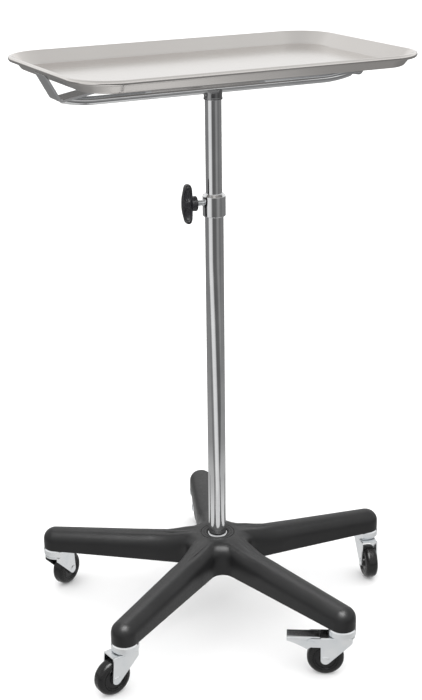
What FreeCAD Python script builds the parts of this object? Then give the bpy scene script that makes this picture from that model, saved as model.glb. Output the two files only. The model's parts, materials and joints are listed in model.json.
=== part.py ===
import FreeCAD, Part

import math
import os

# An instrument stand: a sheet-steel tray on a telescopic chrome mast, on a five-legged moulded
# base with swivel casters. Millimetres. Z is up, the floor is z = 0, the mast's axis is x = y = 0
# and X runs along the tray's long side. The front is -Y.

Vec = FreeCAD.Vector
UP = Vec(0, 0, 1)

# --- Driving dimensions -------------------------------------------------------------------------

# Tray: outer size over the rolled rim, heights and the sheet it is pressed from.
TRAY_LENGTH = 486.0
TRAY_WIDTH = 305.0
TRAY_BOTTOM = 799.1
TRAY_TOP = 816.9
TRAY_SHEET = 0.9
TRAY_CORNER = 57.0
TRAY_WALL_ANGLE = 53.0
TRAY_FLOOR_BEND = 5.5
RIM_ROLL = 3.4
RIM_CURL_ANGLE = 268.0

# Carrier under the tray: a round spine with a bent plate bracket at each end.
SPINE_RADIUS = 5.6
SPINE_Z = 769.9
SPINE_STRAIGHT = 168.0
SPINE_BEND_RADIUS = 175.0
SPINE_BEND_ANGLE = 14.0
SPINE_TIP_RADIUS = 3.2
SPINE_TIP_X = 221.0
BRACKET_SHEET = 3.0
BRACKET_HALF_WIDTH = 17.0
BRACKET_VERTEX_X = 219.0
BRACKET_VERTEX_Z = 774.6
BRACKET_INNER_ANGLE = 10.0
BRACKET_OUTER_ANGLE = 60.6
BRACKET_OUTER_TOP = 809.4
BRACKET_PAD = 9.0
BRACKET_BEND = 5.0
TRAY_REST_GAP = 0.1

# Mast: two chrome tubes, one inside the other, and the collar that clamps them.
LOWER_TUBE_RADIUS = 12.7
LOWER_TUBE_BORE = 11.5
LOWER_TUBE_FOOT = 81.7
LOWER_TUBE_TOP = 609.3
UPPER_TUBE_RADIUS = 11.1
UPPER_TUBE_BORE = 9.9
UPPER_TUBE_FOOT = 257.7
SOCKET_RADIUS = 12.6
SOCKET_FOOT = 756.7
COLLAR_RADIUS = 15.75
COLLAR_FOOT = 599.3
COLLAR_TOP = 630.1
COLLAR_BEVEL = 3.2

# Clamp: a screw with a T-shaped knob. Distances are measured out from the mast's axis.
CLAMP_DIRECTION = 172.0
CLAMP_Z = 618.4
SCREW_RADIUS = 4.0
SCREW_TIP = 12.95
SCREW_END = 39.0
PAD_RADIUS = 3.6
PAD_FACE = 11.15
PAD_BACK = 12.9
KNOB_FACE = 25.5
KNOB_HUB_RADIUS = 10.4
HANDLE_NEAR = 31.4
HANDLE_FAR = 46.0
HANDLE_HALF_HEIGHT = 27.2
HANDLE_HALF_THICK = 7.0
HANDLE_EDGE = 2.2
SCOOP_RADIUS = 15.5
SCOOP_DEPTH = 2.8
SCOOP_Z = 13.5

# Base: five hollow legs on a domed hub.
LEG_COUNT = 5
FIRST_LEG_ANGLE = -75.1
STEM_CIRCLE = 251.0
HUB_BOTTOM = 75.5
HUB_TOP = 120.7
HUB_RADIUS = 47.0
HUB_SHOULDER = 89.7
HUB_CROWN_RADIUS = 27.0
LEG_ROOT_WIDTH = 45.0
LEG_ROOT_TOP = 118.3
LEG_TIP_WIDTH = 37.0
LEG_TIP_TOP = 101.8
LEG_TIP_BOTTOM = 71.5
BASE_WALL = 3.4
RIB_THICK = 2.4
RIB_FOOT = 77.5
RIB_STATIONS = (85.0, 125.0, 165.0, 205.0)
TUBE_BOSS_RADIUS = 18.5
STEM_BOSS_RADIUS = 10.5
HUB_FLOOR = 81.5
BOLT_RADIUS = 5.0
BOLT_GAP = 0.3
BOLT_HEAD_FLATS = 17.0
BOLT_HEAD_HEIGHT = 6.4
WASHER_RADIUS = 15.0
WASHER_THICK = 2.0
PLUG_HEIGHT = 20.0
CAP_RADIUS = 24.2
CAP_THICK = 3.0
CAP_EDGE = 0.8
CAP_GAP = 0.4
CAP_HOLE_RADIUS = 15.6
FOOT_RING_RADIUS = 14.6
FOOT_RING_FOOT = 112.7
FOOT_RING_TOP = 120.1
FOOT_RING_EDGE = 0.8

# Casters. Each is built with its stem on the Z axis and its wheel towards +X.
TRAIL = 22.0
WHEEL_RADIUS = 25.4
WHEEL_WIDTH = 18.8
WHEEL_CORE_RADIUS = 15.5
WHEEL_BOSS_RADIUS = 7.6
WHEEL_BOSS_RISE = 0.8
WHEEL_DISH = 1.6
TYRE_GROOVE_RADIUS = 17.1
TYRE_GROOVE_HALF = 0.5
TYRE_SHOULDER_RADIUS = 18.6
TREAD_HALF_WIDTH = 3.0
AXLE_RADIUS = 4.0
AXLE_HEAD_RADIUS = 5.8
AXLE_HEAD_HEIGHT = 1.4
AXLE_HEAD_EDGE = 1.0
FORK_HALF_WIDTH = 12.8
FORK_SHEET = 2.2
FORK_TOP = 59.7
FORK_FAR_EDGE = 25.8
FORK_BEND = 1.4
FORK_BOSS_RADIUS = 6.5
CUP_RADIUS = 19.0
CUP_FOOT = 61.1
CUP_SHEET = 1.7
CUP_EDGE = 1.2
RIVET_RADIUS = 6.2
RIVET_HEIGHT = 3.4
DISH_RADIUS = 16.6
DISH_TOP = 62.3
BALL_RADIUS = 1.8
BALL_CIRCLE = 11.0
BALL_COUNT = 12
STEM_RADIUS = 5.5
STEM_TOP = 97.7
SHANK_RADIUS = 4.0
RING_FOOT = 85.7
RING_HEIGHT = 3.0
RING_SINK = 0.7
RING_SPLIT = 1.6
STEM_CHAMFER = 1.5

# Wheel brake, on one caster only.
BRAKE_PIVOT_X = 41.0
BRAKE_PIVOT_Z = 51.8
BRAKE_PIN_RADIUS = 2.5
PIN_HEAD_RADIUS = 3.8
PIN_HEAD_HEIGHT = 1.0
EAR_RADIUS = 6.6
PEDAL_END = 75.3
PEDAL_START = 30.0
PEDAL_SHEET = 1.8
PEDAL_GAP = 0.4
PEDAL_NOTCH = 1.0
PEDAL_THROAT_Z = 52.5
PEDAL_BEND = 1.6
PEDAL_TOE_DEPTH = 6.2
PEDAL_SWEEP_X = 62.0
PEDAL_SWEEP_Z = 48.6
PEDAL_HEEL_X = 48.4
TAB_X = 46.0
TAB_FOOT = 41.0
TAB_HEIGHT = 7.0

# Clearances, measured on the radius: a fixed joint, a running joint.
FIXED_GAP = 0.02
RUN_GAP = 0.05

# Leg name, and the direction in which that caster's wheel trails.
CASTERS = (
    ("front_right", 149.0),
    ("right", -106.0),
    ("back", 70.0),
    ("left", 32.0),
    ("front_left", 189.0),
)
BRAKED_CASTER = "front_right"


# --- Helpers ------------------------------------------------------------------------------------

def save(name, shape):
    """Write one sub-part, after checking that it is a set of closed solids."""
    solids = shape.Solids
    if not solids or not all(solid.isValid() and solid.isClosed() for solid in solids):
        raise ValueError(name + " is not a closed solid")
    print(name, len(solids), round(shape.Volume, 1))
    if len(solids) == 1:
        shape = solids[0]
    shape.exportStep("parts/" + name + ".step")


def rod(radius, low, high):
    """Solid cylinder on the Z axis from z = low to z = high."""
    return Part.makeCylinder(radius, high - low, Vec(0, 0, low))


def tube(bore, radius, low, high):
    """Hollow cylinder on the Z axis."""
    return rod(radius, low, high).cut(rod(bore, low, high))


def polygon_face(points):
    """Flat face in the XZ plane from (x, z) corners."""
    corners = [Vec(x, 0, z) for x, z in points]
    return Part.Face(Part.makePolygon(corners + corners[:1]))


def turned(points):
    """Solid of revolution about the Z axis from (radius, z) corners."""
    return polygon_face(points).revolve(Vec(), UP, 360)


def slab(face, half_width):
    """Extrude a face of the XZ plane from y = -half_width to y = +half_width."""
    face = face.copy()
    face.translate(Vec(0, -half_width, 0))
    return face.extrude(Vec(0, 2 * half_width, 0))


def fuse_all(shapes):
    """One shape from many, with the seams between them removed."""
    return shapes[0].fuse(shapes[1:]).removeSplitter()


def strip_face(start, heading, moves, thick):
    """Face in the XZ plane of a bent strip of sheet.

    The strip's centre line starts at the (x, z) point start with the given heading in degrees.
    Each move is ("run", length) or ("bend", radius, angle), and a positive angle bends left.
    """
    x, z = start
    angle = math.radians(heading)
    left = []
    right = []
    for move in moves:
        if move[0] == "run":
            end_x = x + move[1] * math.cos(angle)
            end_z = z + move[1] * math.sin(angle)
            for side, edges in ((1, left), (-1, right)):
                shift_x = -side * thick / 2 * math.sin(angle)
                shift_z = side * thick / 2 * math.cos(angle)
                first = Vec(x + shift_x, 0, z + shift_z)
                last = Vec(end_x + shift_x, 0, end_z + shift_z)
                edges.append(Part.makeLine(first, last))
        else:
            radius = move[1]
            turn = math.radians(move[2])
            hand = 1 if turn > 0 else -1
            centre_x = x - hand * radius * math.sin(angle)
            centre_z = z + hand * radius * math.cos(angle)
            for side, edges in ((1, left), (-1, right)):
                reach = hand * radius - side * thick / 2
                points = []
                for part in (0.0, 0.5, 1.0):
                    at = angle + part * turn
                    points.append(Vec(centre_x + reach * math.sin(at), 0,
                                      centre_z - reach * math.cos(at)))
                edges.append(Part.Arc(*points).toShape())
            angle += turn
            end_x = centre_x + hand * radius * math.sin(angle)
            end_z = centre_z - hand * radius * math.cos(angle)
        x, z = end_x, end_z
    start_cap = Part.makeLine(right[0].Vertexes[0].Point, left[0].Vertexes[0].Point)
    end_cap = Part.makeLine(left[-1].Vertexes[-1].Point, right[-1].Vertexes[-1].Point)
    edges = Part.sortEdges(left + [end_cap] + right + [start_cap])[0]
    return Part.Face(Part.Wire(edges))


# --- Tray ---------------------------------------------------------------------------------------

def tray_section():
    """Section of the tray's edge, with x measured out from the centre of the corner's arc."""
    wall = math.radians(TRAY_WALL_ANGLE)
    half = TRAY_SHEET / 2
    curl = RIM_ROLL - half
    curl_x = TRAY_CORNER - RIM_ROLL
    curl_z = TRAY_TOP - RIM_ROLL
    wall_top_x = curl_x - curl * math.sin(wall)
    wall_top_z = curl_z + curl * math.cos(wall)
    floor_z = TRAY_BOTTOM + half
    bend_rise = TRAY_FLOOR_BEND * (1 - math.cos(wall))
    wall_run = (wall_top_z - floor_z - bend_rise) / math.sin(wall)
    floor_run = wall_top_x - wall_run * math.cos(wall) - TRAY_FLOOR_BEND * math.sin(wall)
    moves = [
        ("run", floor_run),
        ("bend", TRAY_FLOOR_BEND, TRAY_WALL_ANGLE),
        ("run", wall_run),
        ("bend", curl, -RIM_CURL_ANGLE / 2),
        ("bend", curl, -RIM_CURL_ANGLE / 2),
    ]
    return strip_face((0.0, floor_z), 0.0, moves, TRAY_SHEET)


def make_tray():
    """Pressed tray: a flat floor, sloped walls with round corners and an outward curled rim."""
    reach_x = TRAY_LENGTH / 2 - TRAY_CORNER
    reach_y = TRAY_WIDTH / 2 - TRAY_CORNER
    section = tray_section()
    pieces = [Part.makeBox(2 * reach_x, 2 * reach_y, TRAY_SHEET,
                           Vec(-reach_x, -reach_y, TRAY_BOTTOM))]
    corners = ((1, 1, 0), (-1, 1, 90), (-1, -1, 180), (1, -1, 270))
    for sign_x, sign_y, turn in corners:
        corner = section.revolve(Vec(), UP, 90)
        corner.rotate(Vec(), UP, turn)
        corner.translate(Vec(sign_x * reach_x, sign_y * reach_y, 0))
        pieces.append(corner)
    for turn, out, along in ((0, reach_x, reach_y), (90, reach_y, reach_x),
                             (180, reach_x, reach_y), (270, reach_y, reach_x)):
        side = slab(section, along)
        side.translate(Vec(out, 0, 0))
        side.rotate(Vec(), UP, turn)
        pieces.append(side)
    return fuse_all(pieces)


# --- Carrier ------------------------------------------------------------------------------------

def mirrored(shape):
    """The same shape on the other side of the mast."""
    return shape.mirror(Vec(), Vec(1, 0, 0))


def make_bracket():
    """Right-hand bracket, bent from plate into a V.

    The inner arm rises towards the mast and ends in a flat pad under the tray's floor, and the
    outer arm rises to the tray's rolled rim.
    """
    inner = math.radians(BRACKET_INNER_ANGLE)
    outer = math.radians(BRACKET_OUTER_ANGLE)
    pad_z = TRAY_BOTTOM - TRAY_REST_GAP - BRACKET_SHEET / 2
    inner_turn = BRACKET_INNER_ANGLE
    vertex_turn = BRACKET_INNER_ANGLE + BRACKET_OUTER_ANGLE
    pad_trim = BRACKET_BEND * math.tan(inner / 2)
    vertex_trim = BRACKET_BEND * math.tan((inner + outer) / 2)
    inner_run = (pad_z - BRACKET_VERTEX_Z) / math.sin(inner)
    outer_run = (BRACKET_OUTER_TOP - BRACKET_VERTEX_Z) / math.sin(outer)
    start_x = BRACKET_VERTEX_X - inner_run * math.cos(inner) - BRACKET_PAD
    moves = [
        ("run", BRACKET_PAD - pad_trim),
        ("bend", BRACKET_BEND, -inner_turn),
        ("run", inner_run - pad_trim - vertex_trim),
        ("bend", BRACKET_BEND, vertex_turn),
        ("run", outer_run - vertex_trim),
    ]
    return slab(strip_face((start_x, pad_z), 0.0, moves, BRACKET_SHEET), BRACKET_HALF_WIDTH)


def make_spine(right_bracket):
    """Round rail along the tray's middle, bent up and swaged at both ends to meet the brackets."""
    angle = math.radians(SPINE_BEND_ANGLE)
    start = Vec(SPINE_STRAIGHT, 0, SPINE_Z)
    along = Vec(math.cos(angle), 0, math.sin(angle))
    bend_end = start + Vec(SPINE_BEND_RADIUS * math.sin(angle), 0,
                           SPINE_BEND_RADIUS * (1 - math.cos(angle)))
    swage = (SPINE_TIP_X - bend_end.x) / along.x
    circle = Part.Face(Part.Wire(Part.makeCircle(SPINE_RADIUS, start, Vec(1, 0, 0))))
    half = fuse_all([
        Part.makeCylinder(SPINE_RADIUS, SPINE_STRAIGHT, Vec(), Vec(1, 0, 0)).translated(
            Vec(0, 0, SPINE_Z)),
        circle.revolve(start + Vec(0, 0, SPINE_BEND_RADIUS), Vec(0, -1, 0), SPINE_BEND_ANGLE),
        Part.makeCone(SPINE_RADIUS, SPINE_TIP_RADIUS, swage, bend_end, along),
    ])
    half = max(half.cut(right_bracket).Solids, key=lambda solid: solid.Volume)
    return fuse_all([half, mirrored(half)])


# --- Mast ---------------------------------------------------------------------------------------

def spine_rod(radius):
    """Straight stretch of the spine, with a chosen radius, for the parts that are coped to it."""
    return Part.makeCylinder(radius, 4 * SOCKET_RADIUS, Vec(-2 * SOCKET_RADIUS, 0, SPINE_Z),
                             Vec(1, 0, 0))


def make_socket():
    """Coped ring that joins the head of the mast to the spine."""
    ring = tube(UPPER_TUBE_RADIUS + FIXED_GAP, SOCKET_RADIUS, SOCKET_FOOT, SPINE_Z)
    return ring.cut(spine_rod(SPINE_RADIUS + FIXED_GAP))


def make_upper_tube():
    """Inner mast tube, coped at the top to the spine."""
    body = tube(UPPER_TUBE_BORE, UPPER_TUBE_RADIUS, UPPER_TUBE_FOOT, SPINE_Z - 1)
    return body.cut(spine_rod(SPINE_RADIUS + FIXED_GAP))


def make_upper_glide():
    """Moulded plug in the foot of the inner tube, whose flange slides in the outer tube."""
    return turned([
        (0, UPPER_TUBE_FOOT - 8),
        (LOWER_TUBE_BORE - RUN_GAP - 1, UPPER_TUBE_FOOT - 8),
        (LOWER_TUBE_BORE - RUN_GAP, UPPER_TUBE_FOOT - 7),
        (LOWER_TUBE_BORE - RUN_GAP, UPPER_TUBE_FOOT - RUN_GAP),
        (UPPER_TUBE_BORE - RUN_GAP, UPPER_TUBE_FOOT - RUN_GAP),
        (UPPER_TUBE_BORE - RUN_GAP, UPPER_TUBE_FOOT + 15),
        (UPPER_TUBE_BORE - 1.5, UPPER_TUBE_FOOT + 17),
        (0, UPPER_TUBE_FOOT + 17),
    ])


def make_tube_plug():
    """Threaded steel plug fixed in the foot of the outer tube."""
    low = LOWER_TUBE_FOOT
    return tube(BOLT_RADIUS + FIXED_GAP, LOWER_TUBE_BORE - FIXED_GAP, low, low + PLUG_HEIGHT)


def make_collar():
    """Turned collar: a socket over the outer tube, and a bore that guides the inner tube."""
    guide = UPPER_TUBE_RADIUS + RUN_GAP
    socket = LOWER_TUBE_RADIUS + FIXED_GAP
    body = turned([
        (guide, LOWER_TUBE_TOP + FIXED_GAP),
        (socket, LOWER_TUBE_TOP + FIXED_GAP),
        (socket, COLLAR_FOOT),
        (COLLAR_RADIUS - 0.8, COLLAR_FOOT),
        (COLLAR_RADIUS, COLLAR_FOOT + 0.8),
        (COLLAR_RADIUS, COLLAR_TOP - COLLAR_BEVEL),
        (COLLAR_RADIUS - COLLAR_BEVEL + 0.4, COLLAR_TOP),
        (guide, COLLAR_TOP),
    ])
    return body.cut(clamp_rod(SCREW_RADIUS + RUN_GAP, 0, COLLAR_RADIUS + 1))


# --- Clamp --------------------------------------------------------------------------------------

def clamp_place(shape):
    """Move a clamp part, built with its axis along +X from the mast, to its place."""
    return shape.rotated(Vec(), UP, CLAMP_DIRECTION).translated(Vec(0, 0, CLAMP_Z))


def clamp_rod(radius, near, far):
    """Round rod along the clamp's axis, between two distances from the mast's axis."""
    return clamp_place(Part.makeCylinder(radius, far - near, Vec(near, 0, 0), Vec(1, 0, 0)))


def make_knob():
    """T-shaped handle with two finger scoops on each face, moulded on a round hub."""
    middle = (HANDLE_NEAR + HANDLE_FAR) / 2
    upper = [
        Vec(HANDLE_NEAR + 0.3, 0, 0.62 * HANDLE_HALF_HEIGHT),
        Vec(HANDLE_NEAR + 2.2, 0, 0.93 * HANDLE_HALF_HEIGHT),
        Vec(middle - 1.4, 0, HANDLE_HALF_HEIGHT),
        Vec(HANDLE_FAR - 3.6, 0, 0.68 * HANDLE_HALF_HEIGHT),
    ]
    lower = [Vec(point.x, 0, -point.z) for point in reversed(upper)]
    outline = Part.BSplineCurve()
    outline.interpolate([Vec(HANDLE_NEAR, 0, 0)] + upper + [Vec(HANDLE_FAR, 0, 0)] + lower,
                        PeriodicFlag=True)
    handle = slab(Part.Face(Part.Wire(outline.toShape())), HANDLE_HALF_THICK)
    rims = [edge for edge in handle.Edges if edge.Length > HANDLE_FAR]
    handle = handle.makeFillet(HANDLE_EDGE, rims)
    for side in (-1, 1):
        for end in (-1, 1):
            centre = Vec(middle, side * (HANDLE_HALF_THICK + SCOOP_RADIUS - SCOOP_DEPTH),
                         end * SCOOP_Z)
            handle = handle.cut(Part.makeSphere(SCOOP_RADIUS, centre))
    hub = Part.makeCylinder(KNOB_HUB_RADIUS, HANDLE_NEAR + 3 - KNOB_FACE, Vec(KNOB_FACE, 0, 0),
                            Vec(1, 0, 0))
    knob = clamp_place(handle.fuse(hub))
    return knob.cut(clamp_rod(SCREW_RADIUS + FIXED_GAP, 0, SCREW_END + FIXED_GAP))


# --- Base ---------------------------------------------------------------------------------------

def leg_section(x, width, low, top):
    """Wire across a leg at distance x: a flat bottom, upright sides and a round top."""
    half = width / 2
    shoulder = top - half
    corners = [
        Vec(x, half, low),
        Vec(x, half, shoulder),
        Vec(x, 0, top),
        Vec(x, -half, shoulder),
        Vec(x, -half, low),
    ]
    return Part.Wire([
        Part.makeLine(corners[0], corners[1]),
        Part.Arc(corners[1], corners[2], corners[3]).toShape(),
        Part.makeLine(corners[3], corners[4]),
        Part.makeLine(corners[4], corners[0]),
    ])


def leg_body(inset):
    """Tapered leg along +X with a domed tip over the caster, drawn in from its outside.

    A leg that is drawn in reaches below the open underside by the same amount.
    """
    tip_width = LEG_TIP_WIDTH - 2 * inset
    tip_low = LEG_TIP_BOTTOM - inset
    tip_top = LEG_TIP_TOP - inset
    arm = Part.makeLoft([
        leg_section(0.0, LEG_ROOT_WIDTH - 2 * inset, HUB_BOTTOM - inset, LEG_ROOT_TOP - inset),
        leg_section(STEM_CIRCLE, tip_width, tip_low, tip_top),
    ], True, True)
    half = tip_width / 2
    shoulder = tip_top - half
    profile = Part.Face(Part.Wire([
        Part.makeLine(Vec(0, 0, tip_low), Vec(half, 0, tip_low)),
        Part.makeLine(Vec(half, 0, tip_low), Vec(half, 0, shoulder)),
        Part.makeCircle(half, Vec(0, 0, shoulder), Vec(0, -1, 0), 0, 90),
        Part.makeLine(Vec(0, 0, shoulder + half), Vec(0, 0, tip_low)),
    ]))
    tip = profile.rotated(Vec(), UP, -90).revolve(Vec(), UP, 180)
    return arm.fuse(tip.translated(Vec(STEM_CIRCLE, 0, 0))).removeSplitter()


def hub_body(inset, top_inset):
    """Domed hub, drawn in from its outside."""
    crown = HUB_TOP - top_inset
    wide = HUB_RADIUS - inset
    narrow = HUB_CROWN_RADIUS - inset
    middle = Vec(narrow + 0.74 * (wide - narrow), 0, HUB_SHOULDER + 0.66 * (crown - HUB_SHOULDER))
    profile = Part.Face(Part.Wire([
        Part.makeLine(Vec(0, 0, HUB_BOTTOM), Vec(wide, 0, HUB_BOTTOM)),
        Part.makeLine(Vec(wide, 0, HUB_BOTTOM), Vec(wide, 0, HUB_SHOULDER)),
        Part.Arc(Vec(wide, 0, HUB_SHOULDER), middle, Vec(narrow, 0, crown)).toShape(),
        Part.makeLine(Vec(narrow, 0, crown), Vec(0, 0, crown)),
        Part.makeLine(Vec(0, 0, crown), Vec(0, 0, HUB_BOTTOM)),
    ]))
    return profile.revolve(Vec(), UP, 360)


def leg_cavity():
    """Hollow under one leg, along +X, between its cross ribs and its caster boss."""
    hollow = leg_body(BASE_WALL)
    boss = rod(STEM_BOSS_RADIUS, LEG_TIP_BOTTOM, HUB_TOP)
    solid_parts = [boss.translated(Vec(STEM_CIRCLE, 0, 0))]
    rib_height = HUB_TOP - RIB_FOOT
    for station in RIB_STATIONS:
        solid_parts.append(Part.makeBox(RIB_THICK, LEG_ROOT_WIDTH, rib_height,
                                        Vec(station, -LEG_ROOT_WIDTH / 2, RIB_FOOT)))
    solid_parts.append(Part.makeBox(STEM_CIRCLE, RIB_THICK, rib_height,
                                    Vec(0, -RIB_THICK / 2, RIB_FOOT)))
    return hollow.cut(solid_parts)


def around(shape, index):
    """The shape, built along +X, turned to leg number index."""
    return shape.rotated(Vec(), UP, leg_angle(index))


def leg_angle(index):
    """Direction of leg number index, in degrees from +X."""
    return FIRST_LEG_ANGLE + index * 360.0 / LEG_COUNT


def make_base():
    """Moulded star: domed hub, five hollow ribbed legs, a tube boss and five stem bosses."""
    leg = leg_body(0)
    cavity = leg_cavity()
    stem_hole = rod(STEM_RADIUS + FIXED_GAP, LEG_TIP_BOTTOM - 1, STEM_TOP + 0.5).translated(
        Vec(STEM_CIRCLE, 0, 0))
    star = hub_body(0, 0)
    hollow = hub_body(BASE_WALL, BASE_WALL + 1)
    for index in range(LEG_COUNT):
        star = star.fuse(around(leg, index))
        hollow = hollow.fuse(around(cavity, index))
    hollow = hollow.cut(rod(TUBE_BOSS_RADIUS, 0, HUB_TOP))
    star = star.cut(hollow)
    cuts = [around(stem_hole, index) for index in range(LEG_COUNT)]
    cuts.append(rod(TUBE_BOSS_RADIUS, 0, HUB_BOTTOM))
    cuts.append(rod(BOLT_RADIUS + BOLT_GAP, HUB_BOTTOM - 1, HUB_FLOOR + 1))
    cuts.append(rod(LOWER_TUBE_RADIUS + FIXED_GAP, HUB_FLOOR, HUB_TOP + 1))
    cuts.append(rod(FOOT_RING_RADIUS + FIXED_GAP, FOOT_RING_FOOT, HUB_TOP + 1))
    cuts.append(rod(CAP_RADIUS + CAP_GAP, HUB_TOP - CAP_THICK, HUB_TOP + 1))
    return star.cut(cuts)


def make_hub_cap():
    """Loose ring that trims the mouth of the hub around the mast."""
    low = HUB_TOP - CAP_THICK + FIXED_GAP
    return turned([
        (CAP_HOLE_RADIUS, low),
        (CAP_RADIUS, low),
        (CAP_RADIUS, HUB_TOP - CAP_EDGE),
        (CAP_RADIUS - CAP_EDGE, HUB_TOP),
        (CAP_HOLE_RADIUS + CAP_EDGE, HUB_TOP),
        (CAP_HOLE_RADIUS, HUB_TOP - CAP_EDGE),
    ])


def make_foot_ring():
    """Plated ring round the foot of the mast, sunk in the mouth of the hub."""
    bore = LOWER_TUBE_RADIUS + FIXED_GAP
    return turned([
        (bore, FOOT_RING_FOOT + FIXED_GAP),
        (FOOT_RING_RADIUS, FOOT_RING_FOOT + FIXED_GAP),
        (FOOT_RING_RADIUS, FOOT_RING_TOP - FOOT_RING_EDGE),
        (FOOT_RING_RADIUS - FOOT_RING_EDGE, FOOT_RING_TOP),
        (bore, FOOT_RING_TOP),
    ])


def hexagon(across_flats, low, high):
    """Hexagonal prism on the Z axis."""
    radius = across_flats / math.sqrt(3)
    corners = []
    for index in range(7):
        angle = math.radians(60 * index)
        corners.append(Vec(radius * math.cos(angle), radius * math.sin(angle), low))
    return Part.Face(Part.makePolygon(corners)).extrude(Vec(0, 0, high - low))


def make_base_bolt():
    """Hexagon bolt that draws the mast into the hub from below."""
    head_top = HUB_BOTTOM - WASHER_THICK - 2 * FIXED_GAP
    head = hexagon(BOLT_HEAD_FLATS, head_top - BOLT_HEAD_HEIGHT, head_top)
    shank = rod(BOLT_RADIUS, head_top, LOWER_TUBE_FOOT + PLUG_HEIGHT - 2)
    return head.fuse(shank)


# --- Casters ------------------------------------------------------------------------------------

def caster_place(shape, index, trail):
    """Move a caster part, built with its stem on Z and its wheel towards +X, to its leg."""
    angle = math.radians(leg_angle(index))
    stem = Vec(STEM_CIRCLE * math.cos(angle), STEM_CIRCLE * math.sin(angle), 0)
    return shape.rotated(Vec(), UP, trail).translated(stem)


def axle_turned(points):
    """Solid of revolution about the wheel's axle from (radius, y) corners."""
    solid = turned(points).rotated(Vec(), Vec(1, 0, 0), -90)
    return solid.translated(Vec(TRAIL, 0, WHEEL_RADIUS))


def axle_rod(radius, half_length):
    """Round rod on the wheel's axle."""
    return axle_turned([(0, -half_length), (radius, -half_length), (radius, half_length),
                        (0, half_length)])


def make_stem():
    """Fixed caster stem, with its upper race cup and the rivet head below the fork."""
    ceiling = DISH_TOP + 2 * BALL_RADIUS + 2 * FIXED_GAP
    plate_foot = FORK_TOP - FORK_SHEET
    cup_top = LEG_TIP_BOTTOM - FIXED_GAP
    return turned([
        (0, plate_foot - RIVET_HEIGHT),
        (RIVET_RADIUS / 2, plate_foot - RIVET_HEIGHT),
        (RIVET_RADIUS, plate_foot - RIVET_HEIGHT / 2),
        (RIVET_RADIUS, plate_foot - RUN_GAP),
        (SHANK_RADIUS, plate_foot - RUN_GAP),
        (SHANK_RADIUS, ceiling),
        (CUP_RADIUS - CUP_SHEET, ceiling),
        (CUP_RADIUS - CUP_SHEET, CUP_FOOT),
        (CUP_RADIUS - CUP_EDGE, CUP_FOOT),
        (CUP_RADIUS, CUP_FOOT + 2 * CUP_EDGE),
        (CUP_RADIUS, cup_top - CUP_EDGE),
        (CUP_RADIUS - CUP_EDGE, cup_top),
        (STEM_RADIUS, cup_top),
        (STEM_RADIUS, RING_FOOT),
        (STEM_RADIUS - RING_SINK, RING_FOOT),
        (STEM_RADIUS - RING_SINK, RING_FOOT + RING_HEIGHT),
        (STEM_RADIUS, RING_FOOT + RING_HEIGHT),
        (STEM_RADIUS, STEM_TOP - STEM_CHAMFER),
        (STEM_RADIUS - STEM_CHAMFER, STEM_TOP),
        (0, STEM_TOP),
    ])


def make_stem_ring():
    """Split grip ring in the stem's groove."""
    ring = tube(STEM_RADIUS - RING_SINK + FIXED_GAP, STEM_RADIUS - FIXED_GAP,
                RING_FOOT + FIXED_GAP, RING_FOOT + RING_HEIGHT - FIXED_GAP)
    return ring.cut(Part.makeBox(STEM_RADIUS, RING_SPLIT, RING_HEIGHT,
                                 Vec(0, -RING_SPLIT / 2, RING_FOOT)))


def make_balls():
    """Ring of bearing balls between the fork's race and the cup."""
    balls = []
    for index in range(BALL_COUNT):
        angle = 2 * math.pi * index / BALL_COUNT
        centre = Vec(BALL_CIRCLE * math.cos(angle), BALL_CIRCLE * math.sin(angle),
                     DISH_TOP + BALL_RADIUS + FIXED_GAP)
        balls.append(Part.makeSphere(BALL_RADIUS, centre))
    return Part.makeCompound(balls)


def fork_outline(braked):
    """Side view of the fork's cheeks, in the XZ plane; a braked fork has an ear for the pedal."""
    boss = FORK_BOSS_RADIUS
    front = PEDAL_START - PEDAL_NOTCH if braked else FORK_FAR_EDGE
    near_angle = math.radians(225)
    near = Vec(TRAIL + boss * math.cos(near_angle), 0, WHEEL_RADIUS + boss * math.sin(near_angle))
    plate_foot = FORK_TOP - FORK_SHEET
    corner = Vec(near.x - (plate_foot - near.z), 0, plate_foot)
    edges = [
        Part.makeLine(Vec(front, 0, FORK_TOP), Vec(TRAIL + boss, 0, WHEEL_RADIUS)),
        Part.Arc(Vec(TRAIL + boss, 0, WHEEL_RADIUS), Vec(TRAIL, 0, WHEEL_RADIUS - boss),
                 near).toShape(),
        Part.makeLine(near, corner),
        Part.makeLine(corner, Vec(-CUP_RADIUS, 0, plate_foot)),
        Part.makeLine(Vec(-CUP_RADIUS, 0, plate_foot), Vec(-CUP_RADIUS, 0, FORK_TOP)),
        Part.makeLine(Vec(-CUP_RADIUS, 0, FORK_TOP), Vec(front, 0, FORK_TOP)),
    ]
    outline = Part.Face(Part.Wire(edges))
    if not braked:
        return slab(outline, FORK_HALF_WIDTH + 1)
    ear = polygon_face([
        (TRAIL, FORK_TOP),
        (TRAIL, BRAKE_PIVOT_Z - EAR_RADIUS),
        (BRAKE_PIVOT_X, BRAKE_PIVOT_Z - EAR_RADIUS),
        (BRAKE_PIVOT_X + EAR_RADIUS, BRAKE_PIVOT_Z),
        (BRAKE_PIVOT_X + EAR_RADIUS - 2, FORK_TOP),
    ])
    round_end = Part.makeCylinder(EAR_RADIUS, 4 * FORK_HALF_WIDTH,
                                  Vec(BRAKE_PIVOT_X, -2 * FORK_HALF_WIDTH, BRAKE_PIVOT_Z),
                                  Vec(0, 1, 0))
    square_end = Part.makeBox(BRAKE_PIVOT_X - TRAIL, 2 * FORK_HALF_WIDTH, 2 * EAR_RADIUS,
                              Vec(TRAIL, -FORK_HALF_WIDTH, BRAKE_PIVOT_Z - EAR_RADIUS))
    ear = slab(ear, FORK_HALF_WIDTH + 1).common(round_end.fuse(square_end))
    return slab(outline, FORK_HALF_WIDTH + 1).fuse(ear)


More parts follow.
